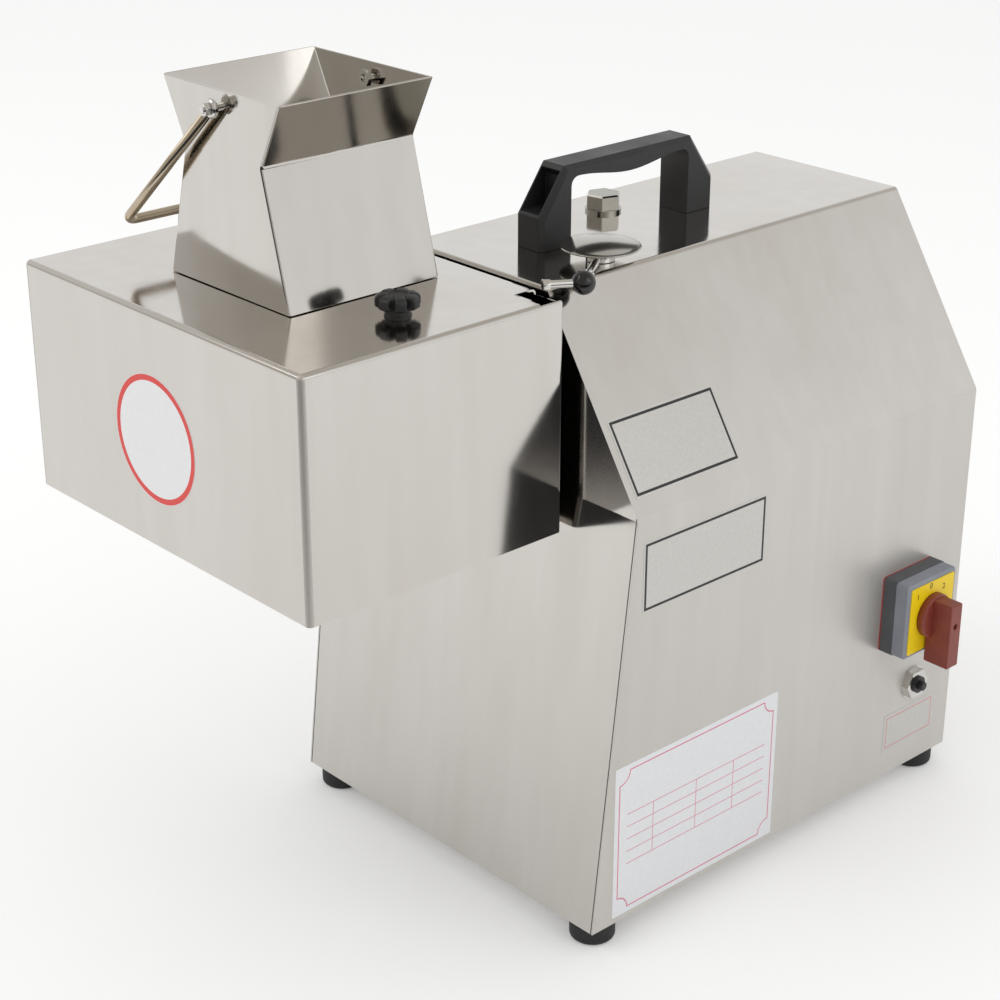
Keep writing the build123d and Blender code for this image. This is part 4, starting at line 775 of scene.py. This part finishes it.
def hopperBail(look):
    low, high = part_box("hopper_bail")
    midX = (hopperLow[0] + hopperHigh[0]) / 2
    midY = (hopperLow[1] + hopperHigh[1]) / 2
    wallHalf = (hopperHigh[1] - hopperLow[1]) / 2
    pivotZ = high[2] - look["radius"]
    barX, barZ = low[0] + look["radius"], low[2] + look["radius"]
    armY = wallHalf + look["standOff"]
    points = [(midX, midY - armY, pivotZ), (barX, midY - armY, barZ),
              (barX, midY + armY, barZ), (midX, midY + armY, pivotZ)]
    bar = barMesh("hopperBail", bentPath(points, [look["barBend"]] * 2), look["radius"], look["sides"])
    rod = addPiece("hopperBail", bar, "hopper_handle", "bright_steel", smooth=True, material=bailSteel)
    eyes, nuts = [], []
    half, rim, edge = look["eyeThick"] / 2, look["eyeRadius"], look["eyeChamfer"]
    for side in (-1, 1):
        eye, way = Vector((midX, midY + side * armY, pivotZ)), Vector((0, side, 0))
        disc = [(rim - edge, -half, 0), (rim, -half + edge, 0), (rim, half - edge, 0), (rim - edge, half, 0)]
        bolt = [(look["boltRadius"], -look["boltIn"], 0),
                (look["boltRadius"], half + look["nutLength"] + look["boltOut"], 0)]
        eyes += [turned(disc, eye, way, 32), turned(bolt, eye, way, 20)]
        nuts.append(hexNut(eye + way * half, way, look["nutFlats"], look["nutLength"]))
    piece = addPiece("bailEyes", meshFrom("bailEyes", *merged(*eyes, *nuts)), "hopper_handle", "bright_steel")
    soften(piece, look["edge"], 2, 40.0)
    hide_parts("hopper_bail")


hopperBail(bailLook)
print("handle, grip, clamp, hopper and bail made")


# The switch: a finger blade on a round flange, with a small lock hole, and plain numbers on its plate
switchLook = {"flange": 0.007, "flangeRadius": 0.0192, "flangeRise": 0.0003, "flangeGap": 0.0002,
              "hub": 0.004, "rim": 0.0014, "rimEase": 0.3, "bladeWidth": 0.0142, "bladeDrop": 0.0021,
              "bladeFoot": 0.001, "edge": 0.0013, "holeRadius": 0.0023, "holeDepth": 0.006,
              "holeDrop": 0.003, "holeSteps": 20,
              "numbers": {"1": (-0.0195, 0.0212), "0": (-0.0028, 0.0264), "2": (0.0146, 0.0210)},
              "numberSize": 0.0072, "numberThick": 0.00015}


def switchParts(look):
    faceLow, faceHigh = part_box("switch_face")
    low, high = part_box("switch_knob")
    middle = Vector((faceHigh[0], (faceLow[1] + faceHigh[1]) / 2, (faceLow[2] + faceHigh[2]) / 2))
    radius, rim, depth, foot = look["flangeRadius"], look["rim"], look["flange"], look["bladeFoot"]
    middle.z = high[2] - radius - look["flangeRise"]
    ease = rim * look["rimEase"]
    profile = [(look["hub"], look["flangeGap"], 0), (radius, look["flangeGap"], 0), (radius, depth - rim, 0),
               (radius - ease, depth - ease, 0), (radius - rim, depth, 0), (look["hub"], depth, 0)]
    flange = meshFrom("switchFlange", *turned(profile, middle, (1, 0, 0), 64))

    def inPlace(x, y, z):
        return middle + Vector((x, y, z))

    half, tip = look["bladeWidth"] / 2, high[0] - middle.x
    bottom, top = low[2] - middle.z, radius - look["bladeDrop"]
    outline = [(-half, bottom), (half, bottom), (half, top), (-half, top)]
    block = meshFrom("bladeBlock", *prism(outline, foot, tip, inPlace))
    steps, r = [2 * math.pi * i / look["holeSteps"] for i in range(look["holeSteps"])], look["holeRadius"]
    hole = [(math.cos(a) * r, math.sin(a) * r - look["holeDrop"]) for a in steps]
    blade = carved("bladeBlock", block, [prism(hole, tip - look["holeDepth"], tip + foot, inPlace)])
    piece = addPiece("switchBlade", blade, "switch_dial", "red_brown_plastic")
    soften(piece, look["edge"], 3, 40.0)
    addPiece("switchFlange", flange, "switch_dial", "red_brown_plastic", smooth=True)
    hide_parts("switch_knob")
    for text, (across, up) in look["numbers"].items():
        plateNumber(text, middle + Vector((look["numberThick"] / 2, across, up)), look)


def plateNumber(text, place, look):
    curve = bpy.data.curves.new(f"number{text}", "FONT")
    curve.body = text
    curve.size = look["numberSize"]
    curve.extrude = look["numberThick"] / 2
    curve.align_x = "CENTER"
    curve.align_y = "CENTER"
    written = bpy.data.objects.new(f"number{text}", curve)
    scene.collection.objects.link(written)
    bpy.context.view_layer.update()
    mesh = bpy.data.meshes.new_from_object(written.evaluated_get(bpy.context.evaluated_depsgraph_get()))
    bpy.data.objects.remove(written)
    for vertex in mesh.vertices:
        x, y, z = vertex.co
        vertex.co = place + Vector((z, x, y))
    addPiece(f"number{text}", mesh, "drive_unit", "black_plastic")


switchParts(switchLook)


# Pan head screws round the rear cover, each with a cross recess
screwLook = {"radius": 0.005, "topShare": 0.68, "height": 0.0025, "crown": 0.45, "slotLength": 0.0056,
             "slotWidth": 0.0011, "slotDepth": 0.0013}
screwSides = 32


# The lowest and highest place of each solid of a node, on each axis
def solidSpans(nodeName):
    work = bmesh.new()
    work.from_mesh(nodes[nodeName].data)
    bmesh.ops.remove_doubles(work, verts=work.verts, dist=1e-6)
    left, spans = set(work.verts), []
    while left:
        island, edge = set(), {left.pop()}
        while edge:
            vert = edge.pop()
            island.add(vert)
            edge |= {link.other_vert(vert) for link in vert.link_edges} - island
        left -= island
        places = [[vert.co[axis] for vert in island] for axis in range(3)]
        spans.append([(min(values), max(values)) for values in places])
    work.free()
    return sorted(spans)


def screwTree():
    tree = bpy.data.node_groups.new("crossScrews", "GeometryNodeTree")
    tree.interface.new_socket("places", in_out="INPUT", socket_type="NodeSocketGeometry")
    for name in screwLook:
        tree.interface.new_socket(name, in_out="INPUT", socket_type="NodeSocketFloat")
    tree.interface.new_socket("finish", in_out="INPUT", socket_type="NodeSocketMaterial")
    tree.interface.new_socket("screws", in_out="OUTPUT", socket_type="NodeSocketGeometry")
    draw = Sketch(tree)
    given = draw.node("NodeGroupInput", out="radius")
    height, crown = given.also("height"), given.also("crown")
    skirt = height * (1 - crown)

    def raised(shape, rise):
        way = draw.node("ShaderNodeCombineXYZ", Z=rise)
        return draw.node("GeometryNodeTransform", Geometry=shape, Translation=way)

    def joined(operation, **shapes):
        return draw.node("GeometryNodeMeshBoolean", {"operation": operation, "solver": "EXACT"}, **shapes)

    base = draw.node("GeometryNodeMeshCylinder", Vertices=screwSides, Radius=given, Depth=skirt)
    cap = draw.node("GeometryNodeMeshCone", Vertices=screwSides, Radius_Top=given * given.also("topShare"),
                    Radius_Bottom=given, Depth=height * crown)
    head = joined("UNION", Mesh_2=[raised(base, skirt * 0.5), raised(cap, skirt)])
    long, wide, deep = given.also("slotLength"), given.also("slotWidth"), given.also("slotDepth")
    bars = []
    for sizes in ((long, wide), (wide, long)):
        size = draw.node("ShaderNodeCombineXYZ", X=sizes[0], Y=sizes[1], Z=deep * 2)
        bars.append(raised(draw.node("GeometryNodeMeshCube", Size=size), height))
    head = joined("DIFFERENCE", Mesh_1=head, Mesh_2=bars)
    placed = draw.node("GeometryNodeInstanceOnPoints", Points=given.also("places"), Instance=head,
                       Rotation=draw.node("FunctionNodeEulerToRotation", Euler=(-math.pi / 2, 0, 0)))
    real = draw.node("GeometryNodeRealizeInstances", Geometry=placed)
    finished = draw.node("GeometryNodeSetMaterial", Geometry=real, Material=given.also("finish"))
    out = tree.nodes.new("NodeGroupOutput")
    tree.links.new(finished.socket, out.inputs["screws"])
    return tree


def coverScrews(look):
    places = bpy.data.meshes.new("screwPlaces")
    seats = [((x[0] + x[1]) / 2, y[1] - look["height"], (z[0] + z[1]) / 2)
             for x, y, z in solidSpans("cover_screws")]
    places.from_pydata(seats, [], [])
    holder = bpy.data.objects.new("screwPlaces", places)
    scene.collection.objects.link(holder)
    tree = screwTree()
    maker = holder.modifiers.new("screws", "NODES")
    maker.node_group = tree
    values = dict(look, finish=finishes["bright_steel"])
    for item in tree.interface.items_tree:
        if item.name in values:
            maker[item.identifier] = values[item.name]
    bpy.context.view_layer.update()
    mesh = bpy.data.meshes.new_from_object(holder.evaluated_get(bpy.context.evaluated_depsgraph_get()))
    bpy.data.objects.remove(holder)
    mesh.name = "coverScrews"
    piece = addPiece("coverScrews", mesh, "drive_unit", "bright_steel")
    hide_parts("cover_screws")


coverScrews(screwLook)
print("switch and screws made")


# Blank stickers: thin sheets with printed borders and empty boxes, drawn from their own map, in metres
slopeFoot, slopeTop = (175.0, 335.0), (77.8, 486.0)
slopeUp = Vector((slopeTop[0] - slopeFoot[0], 0, slopeTop[1] - slopeFoot[1])).normalized()
silverLook = {"slot": "polished_steel", "paper": (0.60, 0.585, 0.56), "paperShade": (0.545, 0.53, 0.505),
              "ink": (0.012, 0.012, 0.012), "inkRoughness": 0.15, "metallic": 0.8, "roughness": 0.3,
              "grainScale": 400.0, "grainDepth": 0.000004, "inset": 0.0016, "line": 0.0021,
              "up": Vector((0, 0, 1)), "cornerRadius": 0.0015, "back": 0.00002, "thick": 0.00015}
stickerLooks = {
    "slopeSticker": dict(silverLook, size=(0.1105, 0.0600), corner=(166.5, 43.9, 348.2), up=slopeUp),
    "sideSticker": dict(silverLook, size=(0.1334, 0.0570), corner=(175.0, 44.3, 259.5)),
    "smallTag": dict(silverLook, size=(0.0690, 0.0360), corner=(175.0, 347.5, 22.5), ink=(0.62, 0.26, 0.23),
                     inset=0.0035, line=0.0009),
    "dataPlate": dict(silverLook, size=(0.1835, 0.1320), corner=(175.0, 21.0, 5.0), slot="light_grey_plastic",
                      paper=(0.80, 0.81, 0.83), paperShade=(0.765, 0.77, 0.785), ink=(0.66, 0.15, 0.26),
                      metallic=0.15, roughness=0.34, grainScale=300.0, grainDepth=0.000003, inset=0.0045,
                      line=0.0010, notch=0.0110, ruleWidth=0.0006, ruleSpan=(0.014, 0.170),
                      rules=(0.0880, 0.0770, 0.0660, 0.0550, 0.0440), postSpan=(0.0440, 0.0886),
                      posts=(0.0420, 0.0900, 0.1330))}


def stickerMaterial(name, look):
    paint = Paint(name)
    u = paint.apart(paint.node("ShaderNodeUVMap", {"uv_map": "sheet"}))
    v = u.also("Y")
    wide, tall = look["size"]
    grain = paint.noise(look["grainScale"])
    sheetTone = paint.blend(paint.spread(grain, 0.3, 0.7), look["paper"], look["paperShade"])
    nearX, nearY = paint.least(u, wide - u), paint.least(v, tall - v)
    near = paint.least(nearX, nearY)
    if "notch" in look:
        dx, dy = nearX - look["inset"], nearY - look["inset"]
        near = paint.least(near, paint.maths("SQRT", dx * dx + dy * dy) - look["notch"] + look["inset"])
    line = (near > look["inset"]) * (near < look["inset"] + look["line"])
    for rows, span, across, along in (("rules", "ruleSpan", v, u), ("posts", "postSpan", u, v)):
        for place in look.get(rows, ()):
            row = (across > place) * (across < place + look["ruleWidth"])
            line = paint.most(line, row * (along > look[span][0]) * (along < look[span][1]))
    return paint.set(Base_Color=paint.blend(line, sheetTone, look["ink"]),
                     Metallic=look["metallic"] * (1 - line),
                     Roughness=look["roughness"] + line * look["inkRoughness"],
                     Normal=paint.bump(grain * look["grainDepth"]))


def sticker(name, look):
    wide, tall = look["size"]
    corner, along, up, r = spot(*look["corner"]), Vector((0, 1, 0)), look["up"], look["cornerRadius"]
    out = along.cross(up).normalized()
    outline = []
    for cx, cy, turn in ((wide - r, tall - r, 0), (r, tall - r, 90), (r, r, 180), (wide - r, r, 270)):
        for i in range(5):
            a = math.radians(turn + 90 * i / 4)
            outline.append((cx + math.cos(a) * r, cy + math.sin(a) * r))
    rings = [[corner + along * u + up * v + out * height for u, v in outline]
             for height in (look["back"], look["thick"])]
    mesh = meshFrom(name, *skin(rings))
    layer = mesh.uv_layers.new(name="sheet")
    for loop in mesh.loops:
        offset = mesh.vertices[loop.vertex_index].co - corner
        layer.data[loop.index].uv = (offset.dot(along), offset.dot(up))
    addPiece(name, mesh, "drive_unit", look["slot"], material=stickerMaterial(name, look))


for stickerName, stickerLook in stickerLooks.items():
    sticker(stickerName, stickerLook)


# The round sign on the cover's front: a blank disc with a red rim
signLook = {"radius": 0.0485, "steps": 72, "place": (-0.0658, 0.3925), "rims": [(0.00002, 0), (0.00012, 0),
            (0.00015, 0.0001)], "ringInner": 0.0438, "ringOuter": 0.0482, "paper": (0.83, 0.83, 0.835),
            "paperShade": (0.80, 0.80, 0.805), "ink": (0.72, 0.045, 0.035), "roughness": 0.34,
            "grainRoughness": 0.06, "grainScale": 300.0, "grainDepth": 0.000003}


def roundSign(look):
    centre = Vector((bodyX + look["place"][0], coverLow[1], floorZ + look["place"][1]))
    turns = [2 * math.pi * i / look["steps"] for i in range(look["steps"])]
    rings = []
    for out, inset in look["rims"]:
        r = look["radius"] - inset
        rings.append([centre + Vector((math.cos(a) * r, -out, math.sin(a) * r)) for a in turns])
    paint = Paint("roundSign")
    here = paint.place(move=tuple(-centre))
    away = paint.node("ShaderNodeVectorMath", {"operation": "LENGTH"}, out=1, i0=here)
    ring = (away > look["ringInner"]) * (away < look["ringOuter"])
    grain = paint.noise(look["grainScale"])
    paper = paint.blend(paint.spread(grain, 0.3, 0.7), look["paper"], look["paperShade"])
    material = paint.set(Base_Color=paint.blend(ring, paper, look["ink"]),
                         Roughness=look["roughness"] + grain * look["grainRoughness"],
                         Normal=paint.bump(grain * look["grainDepth"]))
    mesh = meshFrom("roundSign", *skin(rings))
    addPiece("roundSign", mesh, "head_cover", "light_grey_plastic", material=material)


roundSign(signLook)
print("stickers and sign placed")


# The photograph's viewpoint, from the casing's lower front edge
cameraLook = {"fromBody": (1.1488, -0.98511, 0.97414), "tilt": 66.185, "roll": -0.086, "heading": 47.644,
              "lens": 78.16, "sensor": 36.0, "nearest": 0.05}


def photoCamera(look):
    data = bpy.data.cameras.new("photoCamera")
    data.lens = look["lens"]
    data.sensor_width = look["sensor"]
    data.clip_start = look["nearest"]
    camera = bpy.data.objects.new("photoCamera", data)
    scene.collection.objects.link(camera)
    dx, dy, dz = look["fromBody"]
    camera.location = (bodyX + dx, frontY + dy, floorZ + dz)
    camera.rotation_euler = [math.radians(look[key]) for key in ("tilt", "roll", "heading")]
    scene.camera = camera


photoCamera(cameraLook)
